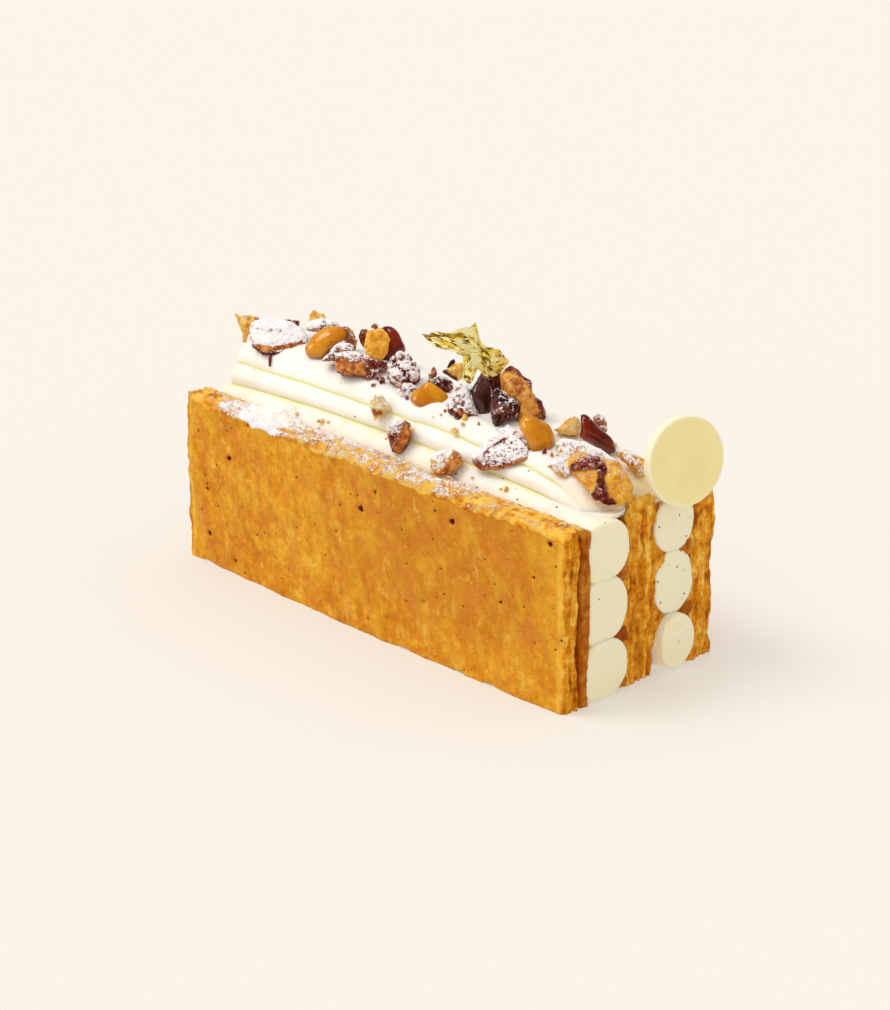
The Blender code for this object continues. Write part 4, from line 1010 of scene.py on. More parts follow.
# Outline of each topping as it faces the front corner, in mm from the middle of its solid: to the side, up
OUTLINES = {
    "wafer_shard_left": ((-2.8, 3.1), (-1.6, 2.4), (0.8, 2.7), (2.2, 2.0), (1.5, 0.3), (1.2, -1.1),
        (0.1, -2.3), (-0.2, -3.7), (-1.1, -3.7), (-1.1, -2.3), (-1.6, -0.4), (-2.1, 1.3)),
    "pecan_dusted_large": ((-6.6, 2.5), (-4.7, 3.4), (-2.3, 3.7), (0.5, 3.2), (3.3, 2.5), (5.2, 1.5),
        (6.1, 0.1), (7.0, -1.3), (6.1, -2.9), (5.6, -4.6), (4.5, -4.8), (2.3, -4.3), (0.5, -5.0),
        (-1.9, -5.5), (-3.5, -5.3), (-4.9, -4.3), (-6.1, -3.4), (-6.3, -1.7), (-6.8, 0.4)),
    "nut_brown_left": ((-3.5, -0.2), (-0.7, 0.0), (1.7, -0.4), (1.4, -1.9), (0.3, -3.3), (-2.1, -3.3),
        (-3.5, -1.9)),
    "wafer_shard_small": ((-1.0, 1.1), (-0.0, 0.4), (1.4, 0.2), (1.8, -0.8), (0.9, -1.5), (-0.5, -2.4),
        (-1.9, -2.0), (-2.2, -1.0), (-1.7, 0.2)),
    "nut_dusted_back": ((-4.1, -0.0), (-3.2, 1.2), (-1.3, 1.9), (1.0, 1.9), (2.9, 1.4), (3.8, 0.4),
        (2.4, -0.7), (-0.4, -1.2), (-2.7, -1.0), (-3.9, -0.7)),
    "caramel_long": ((-5.2, -2.4), (-4.8, -1.1), (-3.4, 0.6), (-1.7, 2.0), (0.1, 3.1), (2.2, 3.3),
        (4.3, 3.1), (5.7, 2.0), (6.1, 0.1), (4.5, -0.4), (2.6, -1.1), (1.3, -2.4), (0.6, -3.8),
        (-0.6, -4.5), (-3.1, -4.8), (-4.5, -4.1)),
    "nut_brown_centre": ((-2.1, 1.9), (-0.7, 1.9), (0.5, 0.8), (1.4, -1.5), (1.1, -3.6), (-0.2, -3.2),
        (-1.2, -1.8), (-2.1, 0.1)),
    "cluster_dusted_small": ((-1.8, 0.8), (-0.9, 1.9), (1.0, 2.4), (2.8, 2.2), (3.7, 0.8), (3.0, -0.4),
        (1.2, -0.8), (-0.9, -1.7), (-2.7, -1.7), (-3.6, -1.7), (-2.9, -0.6), (-2.0, 0.1)),
    "nut_dusted_brown": ((-5.9, 2.2), (-4.1, 2.9), (-1.8, 3.1), (0.5, 2.4), (2.6, 1.5), (4.8, 1.3),
        (6.7, 0.6), (5.7, -0.8), (3.9, -2.2), (2.3, -3.3), (0.3, -2.8), (-2.0, -2.8), (-3.8, -2.6),
        (-5.2, -1.7), (-5.7, 0.1), (-6.1, 1.0)),
    "nugget_round": ((-2.4, 0.8), (-2.0, 2.1), (-1.1, 3.0), (0.3, 3.5), (1.7, 3.0), (2.6, 2.1), (3.3, 0.8),
        (3.0, -0.8), (2.6, -2.2), (1.7, -3.6), (0.3, -4.0), (-1.1, -3.6), (-2.2, -2.2), (-2.7, -0.8)),
    "nut_brown_nugget": ((-2.7, 1.2), (-2.1, 2.5), (-0.9, 2.8), (0.0, 2.1), (-0.5, -0.9), (-1.4, -1.4),
        (-2.1, -0.5), (-2.5, 0.2)),
    "chocolate_ball": ((-2.9, 4.2), (-1.7, 4.9), (-0.3, 4.9), (1.0, 4.2), (2.0, 3.0), (2.6, 1.4), (3.3, 0.2),
        (3.6, -1.0), (2.8, -2.0), (1.6, -2.6), (0.6, -3.9), (-0.9, -5.3), (-2.6, -4.9), (-3.4, -2.5),
        (-3.4, 0.5), (-3.3, 2.8)),
    "cluster_dusted_rough": ((-2.7, 1.4), (-1.8, 2.5), (-0.4, 3.2), (1.1, 3.0), (2.0, 1.8), (3.2, 0.7),
        (3.4, -0.4), (3.8, -1.8), (4.1, -2.9), (2.7, -4.3), (1.6, -4.9), (0.0, -4.5), (-1.3, -4.9),
        (-2.7, -3.8), (-3.6, -2.7), (-3.4, -0.9), (-3.2, 0.5)),
    "cluster_foot": ((-1.0, -0.6), (0.3, 0.5), (2.1, 0.5), (3.0, -0.6), (1.9, -1.7), (1.2, -3.1),
        (-0.1, -2.4), (-1.2, -1.5)),
    "caramel_drop_front": ((-4.1, -2.4), (-3.4, -0.9), (-2.1, 0.0), (-0.7, 0.9), (0.4, 2.0), (1.3, 1.2),
        (2.8, 0.3), (4.4, -0.9), (5.3, -1.7), (5.3, -3.3), (4.4, -4.6), (2.6, -5.1), (0.2, -5.1),
        (-2.1, -4.4), (-3.4, -3.5)),
    "crumb_dark": ((-2.9, 0.3), (-1.3, 1.2), (0.7, 1.0), (2.0, 0.1), (2.0, -1.5), (0.7, -2.2), (-0.7, -2.2),
        (-1.8, -1.3), (-2.7, -0.4)),
    "wafer_shard_back": ((-4.4, 0.3), (-3.1, 0.9), (-1.3, 2.1), (1.0, 2.5), (2.5, 2.1), (2.5, 0.3),
        (1.0, -0.9), (-0.6, -1.8), (-2.0, -1.1), (-3.1, -0.4)),
    "nut_dusted_front": ((-2.5, -0.0), (-1.6, 1.7), (-0.5, 2.6), (1.0, 2.2), (2.1, 1.3), (1.9, -0.3),
        (2.8, -1.8), (3.7, -3.4), (3.5, -4.9), (2.1, -5.8), (0.1, -5.8), (-1.6, -4.9), (-2.9, -3.4),
        (-3.2, -1.6)),
    "chocolate_drop": ((-3.3, 0.3), (-2.5, 1.6), (-1.6, 2.5), (-1.4, 4.4), (-0.3, 3.1), (1.1, 2.2),
        (1.7, 0.3), (1.9, -1.9), (1.5, -4.6), (1.3, -6.6), (-0.7, -6.6), (-1.6, -5.3), (-2.7, -2.8),
        (-3.1, -1.1)),
    "nut_dark_dusted": ((-2.6, 2.9), (-1.5, 4.7), (-0.2, 3.8), (1.1, 2.5), (2.4, 2.5), (3.3, 1.2),
        (3.3, -0.6), (2.2, -1.9), (0.4, -2.3), (-0.6, -3.4), (-2.0, -4.3), (-2.4, -2.8), (-2.4, -0.6),
        (-2.2, 1.2)),
    "pecan_tall": ((-4.6, 2.9), (-3.5, 4.6), (-2.0, 5.1), (-0.7, 4.4), (0.4, 3.1), (2.0, 2.0), (2.4, 0.0),
        (3.5, -1.7), (4.6, -2.6), (5.2, -4.8), (5.5, -6.3), (4.2, -6.1), (2.0, -6.6), (0.2, -8.3),
        (-0.9, -7.9), (-0.7, -5.2), (-1.6, -2.6), (-4.0, -1.3), (-4.4, 0.5)),
    "caramel_flow": ((-3.5, 0.8), (-2.4, 2.8), (-1.4, 4.3), (-0.3, 3.0), (1.4, 1.7), (3.6, 0.8),
        (4.3, -0.5), (4.7, -2.6), (4.9, -4.1), (3.6, -5.2), (1.4, -5.6), (-0.5, -5.9), (-1.1, -4.3),
        (-1.6, -2.6), (-2.7, -0.9)),
    "pecan_flat_dusted": ((-4.8, -2.7), (-3.7, -1.2), (-1.8, 0.3), (-0.3, 1.8), (1.5, 3.5), (3.2, 4.4),
        (4.9, 3.5), (6.0, 1.8), (7.5, 0.7), (8.2, -1.4), (8.0, -3.2), (5.8, -3.8), (3.2, -4.9), (0.4, -5.6),
        (-2.9, -5.6), (-4.6, -4.0)),
    "wafer_shard_pale": ((-2.9, -1.3), (-1.4, -0.7), (-0.1, 0.8), (1.8, 1.7), (2.9, 1.3), (3.4, -0.5),
        (2.9, -2.6), (1.0, -2.6), (-1.2, -2.0)),
    "drop_dark_caramel": ((-4.3, 3.9), (-3.5, 4.6), (-2.4, 4.4), (-1.3, 2.6), (-0.0, 1.1), (1.7, 0.0),
        (3.2, -1.2), (4.0, -2.8), (4.3, -4.5), (2.8, -4.9), (1.0, -4.0), (-1.3, -2.8), (-3.5, -1.7),
        (-4.6, -1.2), (-3.9, 0.5), (-3.9, 2.4)),
    "crumbs_dusted": ((-2.2, 1.7), (-1.1, 2.6), (0.2, 2.1), (0.8, 0.4), (0.6, -1.3), (-0.7, -0.9),
        (-1.8, 0.4)),
    "pecan_striped": ((-5.2, 3.3), (-4.4, 4.6), (-2.7, 5.3), (-0.5, 4.8), (1.2, 4.0), (3.3, 3.1),
        (5.4, 2.5), (7.1, 2.1), (8.2, 0.2), (9.5, -2.4), (10.1, -4.7), (9.7, -6.4), (8.4, -7.5),
        (5.9, -7.3), (3.5, -7.1), (1.6, -6.4), (0.5, -4.9), (-0.5, -3.2), (-2.2, -1.8), (-3.9, 0.2),
        (-5.0, 1.6)),
    "crumbs_right": ((-3.3, 3.1), (-1.3, 3.1), (0.4, 1.6), (1.2, 0.1), (2.1, -2.7), (0.6, -2.7),
        (-0.9, -1.0), (-2.6, 0.7), (-3.5, 1.8)),
    "crumb_pale_front": ((-1.9, 1.2), (-0.8, 2.5), (0.6, 2.3), (1.9, 0.7), (2.2, -0.8), (1.0, -1.7),
        (-0.3, -2.6), (-1.0, -3.5), (-1.6, -2.2), (-2.1, -0.6)),
    "chunk_brown_front": ((-2.0, 0.1), (-1.3, 2.1), (0.0, 3.2), (1.8, 3.4), (3.1, 2.5), (3.6, 0.7),
        (3.1, -1.5), (2.2, -3.3), (0.5, -4.4), (-0.9, -3.9), (-1.5, -2.2)),
    "chunk_dusted_front": ((-3.6, -0.1), (-2.3, 1.4), (-0.5, 2.0), (1.2, 2.0), (3.0, 1.2), (3.8, -0.8),
        (2.5, -2.1), (0.8, -3.4), (-1.2, -3.9), (-2.9, -2.8), (-3.6, -1.4)),
}

# Runs of caramel and browned places in the same plane: side, up and half width in mm
STREAKS = {
    "pecan_striped": (("dark", ((-2.4, 0.6, 1.1), (-0.3, 1.2, 1.7), (1.9, 1.7, 1.7), (3.2, 0.6, 1.2),
        (2.9, -1.5, 1.0), (3.0, -3.2, 1.3), (2.6, -4.8, 1.9), (3.7, -6.2, 1.6), (5.2, -6.8, 0.8))),),
    "pecan_tall": (("dark", ((-3.5, 4.2, 0.4), (-1.8, 4.6, 0.8), (-0.2, 3.5, 0.7), (1.3, 2.2, 0.5),
        (2.0, 0.5, 0.4))), ("dark", ((3.5, -2.2, 0.7), (4.4, -3.9, 1.0), (5.0, -5.7, 0.7)))),
    "pecan_dusted_large": (("dark", ((-5.6, -3.8, 0.5), (-3.8, -5.0, 0.7), (-1.4, -5.5, 0.7),
        (1.6, -4.8, 0.6), (5.2, -4.6, 0.7))), ("toffee", ((-4.9, -3.4, 0.6), (-1.9, -4.1, 0.6),
        (1.6, -3.6, 0.6), (5.2, -2.9, 0.9))),),
    "pecan_flat_dusted": (("toffee", ((-4.4, -4.3, 0.3), (-2.4, -5.3, 0.3), (0.6, -5.3, 0.4),
        (3.6, -4.7, 0.4), (6.2, -3.6, 0.4), (8.0, -3.0, 0.3))), ("dark", ((-2.0, -2.1, 0.2),
        (-0.9, -1.0, 0.2), (0.4, -0.1, 0.3), (1.7, 0.7, 0.2), (2.6, 1.2, 0.2))), ("dark", ((5.8, 1.2, 0.3),
        (7.1, 0.5, 0.5), (7.8, -0.8, 0.3))),),
    "chunk_brown_front": (("toffee", ((2.2, 2.3, 0.7), (2.2, 0.5, 1.2), (1.6, -1.5, 1.3),
        (0.5, -3.5, 0.9))),),
    "chunk_dusted_front": (("toffee", ((1.9, 1.2, 0.7), (2.3, -0.4, 1.3), (0.8, -2.1, 1.1),
        (-1.0, -3.6, 0.7))),),
    "nut_dusted_front": (("dark", ((-2.5, -3.6, 0.9), (-0.3, -5.1, 1.0), (2.4, -5.1, 1.1))), ("toffee",
        ((-1.4, -4.0, 0.7), (0.4, -4.2, 0.7))),),
    "caramel_long": (("dark", ((5.4, 2.2, 0.5), (6.1, 0.6, 0.5))), ("toffee", ((1.3, -2.9, 0.7),
        (-0.1, -4.3, 0.5))),),
    "nut_dusted_brown": (("toffee", ((-4.3, 0.1, 1.4), (-2.0, -0.8, 1.6), (0.3, -0.8, 1.4))), ("dark",
        ((3.2, 0.1, 1.1), (5.3, 0.1, 1.1))),),
    "crumb_pale_front": (("toffee", ((-1.4, -1.7, 0.7), (0.1, -1.7, 0.7))),),
    "wafer_shard_back": (("dark", ((-3.3, 0.3, 0.6), (-1.3, -1.3, 0.6))),),
}

CORNER_AZIMUTH, CORNER_HEIGHT = math.radians(46.853), math.radians(21.204)
TO_SIDE = np.array([math.cos(CORNER_AZIMUTH), math.sin(CORNER_AZIMUTH), 0.0])
TO_FRONT = np.array([math.sin(CORNER_AZIMUTH) * math.cos(CORNER_HEIGHT),
                     -math.cos(CORNER_AZIMUTH) * math.cos(CORNER_HEIGHT), math.sin(CORNER_HEIGHT)])
TO_RISE = np.cross(TO_FRONT, TO_SIDE)
EDGE_BINS = 60


def outline_reach(outline, angles):
    """How far the outline is from its own middle in each direction."""
    corners = np.array(outline)
    middle = corners.mean(0)
    corners = corners - middle
    reach = np.zeros(len(angles))
    ways = np.column_stack([np.cos(angles), np.sin(angles)])
    for start, end in zip(corners, np.roll(corners, -1, 0)):
        run = end - start
        cross = ways[:, 0] * run[1] - ways[:, 1] * run[0]
        safe = np.where(np.abs(cross) < 1e-9, 1e-9, cross)
        far = (start[0] * run[1] - start[1] * run[0]) / safe
        along = (start[0] * ways[:, 1] - start[1] * ways[:, 0]) / safe
        hit = (along >= -1e-6) & (along <= 1 + 1e-6) & (far > 0)
        reach = np.where(hit, np.maximum(reach, far), reach)
    return middle, reach


def middle_and_half(values):
    """Midway between the lowest and the highest value, and half the way from one to the other."""
    return (values.max() + values.min()) / 2, (values.max() - values.min()) / 2


def fit_outline(points, node, flat, ragged):
    """Stretch a topping in its outline's plane until its edge follows it; flat below 1 levels its faces."""
    low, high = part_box(node)
    middle = np.array((low + high) / 2)
    local = (points - middle) / MM
    u, v, w = local @ TO_SIDE, local @ TO_RISE, local @ TO_FRONT
    solid = np.array([vert.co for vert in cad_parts[node].data.vertices])
    depth_middle, half_depth = middle_and_half((solid - middle) / MM @ TO_FRONT)
    w_middle, w_half = middle_and_half(w)
    w = (w - w_middle) / w_half
    if flat != 1.0:
        w = np.sign(w) * np.abs(w) ** flat
    u, v = u - middle_and_half(u)[0], v - middle_and_half(v)[0]
    radius, angle = np.hypot(u, v), np.arctan2(v, u)
    place = ((angle + math.pi) / (2 * math.pi) * EDGE_BINS).astype(int) % EDGE_BINS
    edge = np.zeros(EDGE_BINS)
    np.maximum.at(edge, place, radius)
    edge = (edge + np.roll(edge, 1) + np.roll(edge, -1)) / 3
    bin_angles = (np.arange(-1, EDGE_BINS + 1) + 0.5) / EDGE_BINS * 2 * math.pi - math.pi
    now = np.interp(angle, bin_angles, np.pad(edge, 1, "wrap"))
    fine = np.linspace(-math.pi, math.pi, 361)
    centre, reach = outline_reach(OUTLINES[node], fine)
    wanted = np.interp(angle, fine, reach)
    if ragged:
        wanted = wanted * (1 + ragged * crumb_noise(points, 1.5, 601, 2))
    u, v = centre[0] + u / now * wanted, centre[1] + v / now * wanted
    w = depth_middle + w * half_depth
    shaped = middle + (u[:, None] * TO_SIDE + v[:, None] * TO_RISE + w[:, None] * TO_FRONT) * MM
    return shaped, np.column_stack([u, v])


def face_normals(points, faces):
    """Outward unit normals at the corners of a closed skin of quads."""
    a, b, c, d = (points[faces[:, k]] for k in range(4))
    across = np.cross(c - a, d - b)
    total = np.zeros(points.shape)
    for k in range(4):
        np.add.at(total, faces[:, k], across)
    return total / np.maximum(np.linalg.norm(total, axis=1, keepdims=True), 1e-12)


def softened(points, faces, rounds):
    """Draw each corner towards its neighbours, which rounds a skin of quads."""
    degree = np.zeros(len(points))
    for k in range(4):
        np.add.at(degree, faces[:, k], 2)
    for _ in range(rounds):
        total = np.zeros(points.shape)
        for k in range(4):
            np.add.at(total, faces[:, k], points[faces[:, (k + 1) % 4]] + points[faces[:, k - 1]])
        points = 0.4 * points + 0.6 * total / degree[:, None]
    return points


def streak_cover(flat, node, kind):
    """How much of a streak of this kind covers each point, 0 to 1."""
    cover = np.zeros(len(flat))
    for name, path in STREAKS.get(node, ()):
        if name != kind:
            continue
        spot = np.column_stack([flat * MM, flat[:, :1] * 0])
        ragged = 0.35 * crumb_noise(spot, 1.1, 511, 2)
        for (u0, v0, w0), (u1, v1, w1) in zip(path, path[1:]):
            start, run = np.array([u0, v0]), np.array([u1 - u0, v1 - v0])
            t = np.clip((flat - start) @ run / max(run @ run, 1e-9), 0, 1)
            distance = np.linalg.norm(flat - start - t[:, None] * run, axis=1)
            cover = np.maximum(cover, step(1.15, 0.7, distance / (w0 + (w1 - w0) * t) + ragged))
    return cover


def add_toppings(looks):
    for k, (node, form, strength, look, cover, levels, flat, ragged) in enumerate(TOPPINGS):
        points, faces = refined(node, levels)
        points, plane = fit_outline(points, node, flat, ragged)
        if form == "flowing":
            points = softened(points, faces, 5)
        dress(f"{node}_detail", points, faces, plane, form, strength, looks[look], cover, 100 + k * 7, node)
    for name, slot, middle, outline, thick, form, strength, look, cover in FLAKES:
        points, faces, plane = flake_skin(np.array(middle), np.array(outline), thick)
        dress(name, points, faces, plane, form, strength, looks[look], cover, 700 + len(name))


def dress(name, points, faces, plane, form, strength, look, cover, seed, node=None):
    """Give a topping its relief and the marks that colour it."""
    normals = face_normals(points, faces)
    front = normals @ TO_FRONT
    flowing_form = form == "flowing"
    dark, toffee = (streak_cover(plane, node, kind) * step(-0.2, 0.2, front) for kind in ("dark", "toffee"))
    height = FORMS[form](points, seed) * strength
    height = height * (1 - 0.6 * toffee) + dark * (0.25 + 0.4 * crumb_noise(points, 0.9, seed + 5, 2))
    z = points[:, 2]
    # burnt: painted shade, darker towards each piece's foot, milder on amber and honey pieces; the sugar
    # thins there too
    foot_shade_strength = 0.35 if look.name.startswith(("amber", "honey")) else 0.85
    burnt = step(0.4, 0.0, (z - z.min()) / (z.max() - z.min())) * foot_shade_strength
    sugar = cover * (1 - 0.8 * np.maximum(dark, toffee)) - 0.2 * burnt
    sugar = np.full(len(points), cover) if flowing_form else sugar + 0.06 * soft_noise(points, 3, seed + 90)
    raised = height * 0 if flowing_form else np.clip(height * 0.9, -0.6, 0.6)
    points = points + normals * (height * (0.35 + 0.65 * np.clip(front, 0, 1)))[:, None] * MM
    marks = {"raised": raised, "dark": dark, "toffee": toffee, "burnt": burnt, "sugar": sugar}
    add_piece(name, points, faces, look, node, marks=marks, smooth=flowing_form)


# Broken bits between the toppings: name, slot, middle in mm, outline as above, half thickness, and their
# form, its strength, material and cover of icing sugar
FLAKES = (
    ("flake_behind_pecan", "dusted_nut", (51.4, -6.2, 47.7),
     ((-8.6, 1.0), (-7.3, 2.3), (-6.3, 4.0), (-6.5, 5.9), (-5.2, 7.0), (-2.7, 6.7), (-0.1, 6.1), (2.9, 4.8),
      (5.4, 3.1), (6.7, 2.3), (2.9, 1.9), (-2.4, 0.6), (-4.4, -1.8), (-6.5, -0.7), (-7.8, 0.6)),
     1.2, "knobs", 0.7, "amber nut", 0.5),
    ("dark_tip_by_leaf", "caramelised_nut", (3.4, 2.3, 55.9),
     ((-3.1, 1.2), (-2.4, 2.7), (-1.5, 3.2), (-1.1, 2.5), (-1.7, 1.6), (-2.6, 0.9)),
     0.7, "crisp", 0.6, "burnt crumb", 0.05),
    ("dark_bits_behind_drop", "caramelised_nut", (14.4, 0.6, 56.9),
     ((-2.8, -1.5), (-2.6, 0.8), (-1.6, 2.4), (0.2, 2.0), (1.4, 2.6), (2.9, 1.6), (3.0, -0.6), (2.4, -2.6),
      (1.8, -4.6), (-1.8, -4.8)),
     1.4, "knobs", 0.8, "burnt crumb", 0.06),
)


def flake_skin(middle, outline, thick):
    """A broken piece that faces the front corner: its points, its quads, and where each is in that plane."""
    border = cut_outline(outline, 0.5)
    centre = outline.mean(0)
    rows, planes = [], []
    for turn in np.linspace(0, math.pi, 21):
        plane = centre + (border - centre) * math.sin(turn) ** 0.8
        depth = thick * math.cos(turn)
        rows.append((middle + plane[:, :1] * TO_SIDE + plane[:, 1:] * TO_RISE + depth * TO_FRONT) * MM)
        planes.append(plane)
    points, quads = tube_skin(rows)
    return points, quads[:, ::-1], np.concatenate(planes)


# Gold leaf

LEAF_CENTRE = np.array([16.4, -4.4, 65.4])
LEAF_AZIMUTH = math.radians(47)
LEAF_SHARES = np.linspace(0, 1, 9)[1:]
LEAF_OUTLINE = (
    (-177, 3.6), (-140, 4.7), (-124, 7.1), (-106, 8.0), (-95, 3.4), (-78, 5.7), (-63, 6.9), (-45, 6.9),
    (-19, 7.4), (9, 4.3), (32, 1.9), (78, 1.9), (97, 6.7), (131, 7.2), (153, 10.2), (163, 13.1), (172, 10.6),
)


def leaf_fold(x, z):
    broad = 1.3 * np.sin(x / 2.3 + z / 5)
    fine = 0.7 * np.sin(z / 1.5 - x / 3.4)
    return (broad + fine) * np.minimum(1.0, np.hypot(x, z) / 3)


def leaf_layer(outline, side):
    """One face of the foil: a fan of rings from its middle, folded and crumpled."""
    plane = np.concatenate([[[0.0, 0.0]]] + [outline * s for s in LEAF_SHARES])
    spot = np.column_stack([plane[:, 0], plane[:, 0] * 0, plane[:, 1]]) * MM
    shift = 0.3 * np.column_stack([soft_noise(spot, 0.9, 307), soft_noise(spot, 0.9, 309)])
    loose = np.repeat([0.0] + list(LEAF_SHARES < 1), [1] + [len(outline)] * len(LEAF_SHARES))
    plane = plane + shift * loose[:, None]
    crumple = 1.0 * (fold_noise(spot, 2.6, 303) - 0.4) + 0.6 * soft_noise(spot, 1.3, 305)
    crumple *= np.minimum(1, np.hypot(*plane.T) / 2)
    depth = leaf_fold(*plane.T) + crumple + side * 0.06
    turn = np.array(Matrix.Rotation(LEAF_AZIMUTH, 3, "Z"))
    return (LEAF_CENTRE + np.column_stack([plane[:, 0], depth, plane[:, 1]]) @ turn.T) * MM


def gold_leaf(look):
    """Thin crumpled foil in flat facets: both faces share one fan of rings."""
    turns = [(math.radians(degrees), reach) for degrees, reach in LEAF_OUTLINE]
    outline = cut_outline(np.array([(r * math.cos(a), r * math.sin(a)) for a, r in turns]), 1.3)
    flat = np.column_stack([outline[:, 0] * MM, outline[:, 1] * MM, outline[:, 0] * 0])
    outline = outline * (1 + 0.07 * soft_noise(flat, 1.1, 301)[:, None])
    layers = [leaf_layer(outline, side) for side in (-1, 1)]
    count, size = len(outline), len(layers[0])
    i = np.arange(count)
    j = (i + 1) % count
    faces = [np.stack([i * 0, 1 + i, 1 + j], -1)]
    for near in range(1, size - count, count):
        far = near + count
        faces.append(np.stack([near + i, far + i, far + j], -1))
        faces.append(np.stack([near + i, far + j, near + j], -1))
    front = np.concatenate(faces)
    rim = size - count
    edge = np.concatenate([np.stack([rim + size + j, rim + j, rim + i], -1),
                           np.stack([rim + size + i, rim + size + j, rim + i], -1)])
    faces = np.concatenate([front, front[:, ::-1] + size, edge])
    piece = add_piece("gold_leaf_foil", np.concatenate(layers), faces, look, "gold_leaf", smooth=False,
                      sealed=True)
    middles = np.array([p.center for p in piece.data.polygons])
    turned = np.array([p.normal for p in piece.data.polygons])
    # Painted reflection: each flat face gets a tone from the way it is turned, brighter where it faces the
    # front corner
    tone = 0.5 + 0.44 * np.sin(7 * turned[:, 0] + 5 * turned[:, 2] + 3 * turned[:, 1])
    tone = tone + 0.3 * soft_noise(middles, 1.1, 311) + 0.25 * (np.abs(turned @ TO_FRONT) - 0.6)
    layer = piece.data.attributes.new("facet_reflection", "FLOAT", "FACE")
    layer.data.foreach_set("value", np.clip(tone, 0, 1).astype(np.float32))


# Loose sugar, crumbs and sauce

def surface_under():
    """A search tree of everything shown so far, to lay loose bits on."""
    points, faces = [], []
    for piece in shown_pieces():
        start = len(points)
        points += [v.co.copy() for v in piece.data.vertices]
        faces += [[start + i for i in p.vertices] for p in piece.data.polygons]
    return BVHTree.FromPolygons(points, faces)


def sugar_heap(tree, look):
    """A soft spill of icing sugar over the front sheet's top edge."""
    gx, gy = np.meshgrid(np.linspace(-47.5, -25.5, 90), np.linspace(-25.2, -14.2, 46), indexing="ij")
    x, y = gx.ravel(), gy.ravel()
    spot = np.column_stack([x, y, x * 0]) * MM
    edge = np.hypot((x + 36.5) / 7.2, (y + 18.6) / 4.6) + 0.22 * crumb_noise(spot, 3, 401, 3)
    thickness = 1.5 * step(1.0, 0.25, edge) + 0.18 * crumb_noise(spot, 0.9, 403, 2) * step(1.05, 0.8, edge)
    top = np.full(len(x), np.nan)
    for i in range(len(x)):
        found = tree.ray_cast(Vector((x[i], y[i], 60)) * MM, Vector((0, 0, -1)))[0]
        if found is not None and found.z > 38.5 * MM and edge[i] < 1.0:
            top[i] = found.z / MM + max(thickness[i], 0.05)
    grid = np.arange(len(x)).reshape(gx.shape)
    quads = np.stack([grid[:-1, :-1], grid[1:, :-1], grid[1:, 1:], grid[:-1, 1:]], -1).reshape(-1, 4)
    quads = quads[~np.isnan(top[quads]).any(1)]
    used, quads = np.unique(quads, return_inverse=True)
    upper = np.column_stack([x[used], y[used], top[used]]) * MM
    lower = upper.copy()
    lower[:, 2] = np.minimum(upper[:, 2] - 1.2 * MM, 40.2 * MM)
    points, faces = close_sheet(upper, lower, quads.reshape(-1, 4))
    add_piece("sugar_heap", points, faces, look)


def close_sheet(upper, lower, quads):
    """Join an upper and a lower skin along their open border: the points and quads of one closed body."""
    size = len(upper)
    sides = dict.fromkeys((a, b) for quad in quads.tolist() for a, b in zip(quad, quad[1:] + quad[:1]))
    walls = [(b, a, a + size, b + size) for a, b in sides if (b, a) not in sides]
    return np.concatenate([upper, lower]), np.concatenate([quads, quads[:, ::-1] + size, walls])


def crumb_shape(rng, width):
    """One irregular crumb as points and triangles."""
    points, faces = ball_skin(1, 0.5)
    points *= rng.uniform(0.65, 1.25, (len(points), 1))
    points *= rng.uniform(0.6, 1.15, 3) * width
    return points, faces


def scatter(name, tree, spots, look, seed):
    """Lay crumbs at spots (x, y, width in mm) on what is under them, as one piece."""
    rng = np.random.default_rng(seed)
    points, faces, count = [], [], 0
    for x, y, width in spots:
        shape, triangles = crumb_shape(rng, width)
        rng.normal(size=2)  # two draws set aside, so that the next crumb keeps its shape
        found = tree.ray_cast(Vector((x, y, 80)) * MM, Vector((0, 0, -1)))
        if found[0] is None:
            continue
        points.append((shape + np.array(found[0]) / MM + np.array(found[1]) * width * 0.25) * MM)
        faces.append(triangles + count)
        count += len(shape)
    add_piece(name, np.concatenate(points), np.concatenate(faces), look, smooth=False,
              marks={"sugar": np.full(count, 0.24)})


def sugar_grains(tree, look):
    """Coarse grains over the toppings and the crumbly edge."""
    rng = np.random.default_rng(7)
    spots = []
    for node, _, _, _, cover, *_ in TOPPINGS:
        low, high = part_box(node)
        for _ in range(int(34 * cover)):
            x, y = rng.uniform(low.x, high.x) / MM, rng.uniform(low.y, high.y) / MM
            spots.append((x, y, rng.uniform(0.22, 0.5)))
    for _ in range(260):
        spots.append((rng.uniform(-60, 45), rng.uniform(-23.8, -17.2), rng.uniform(0.2, 0.4)))
    scatter("sugar_grains", tree, spots, look, 8)


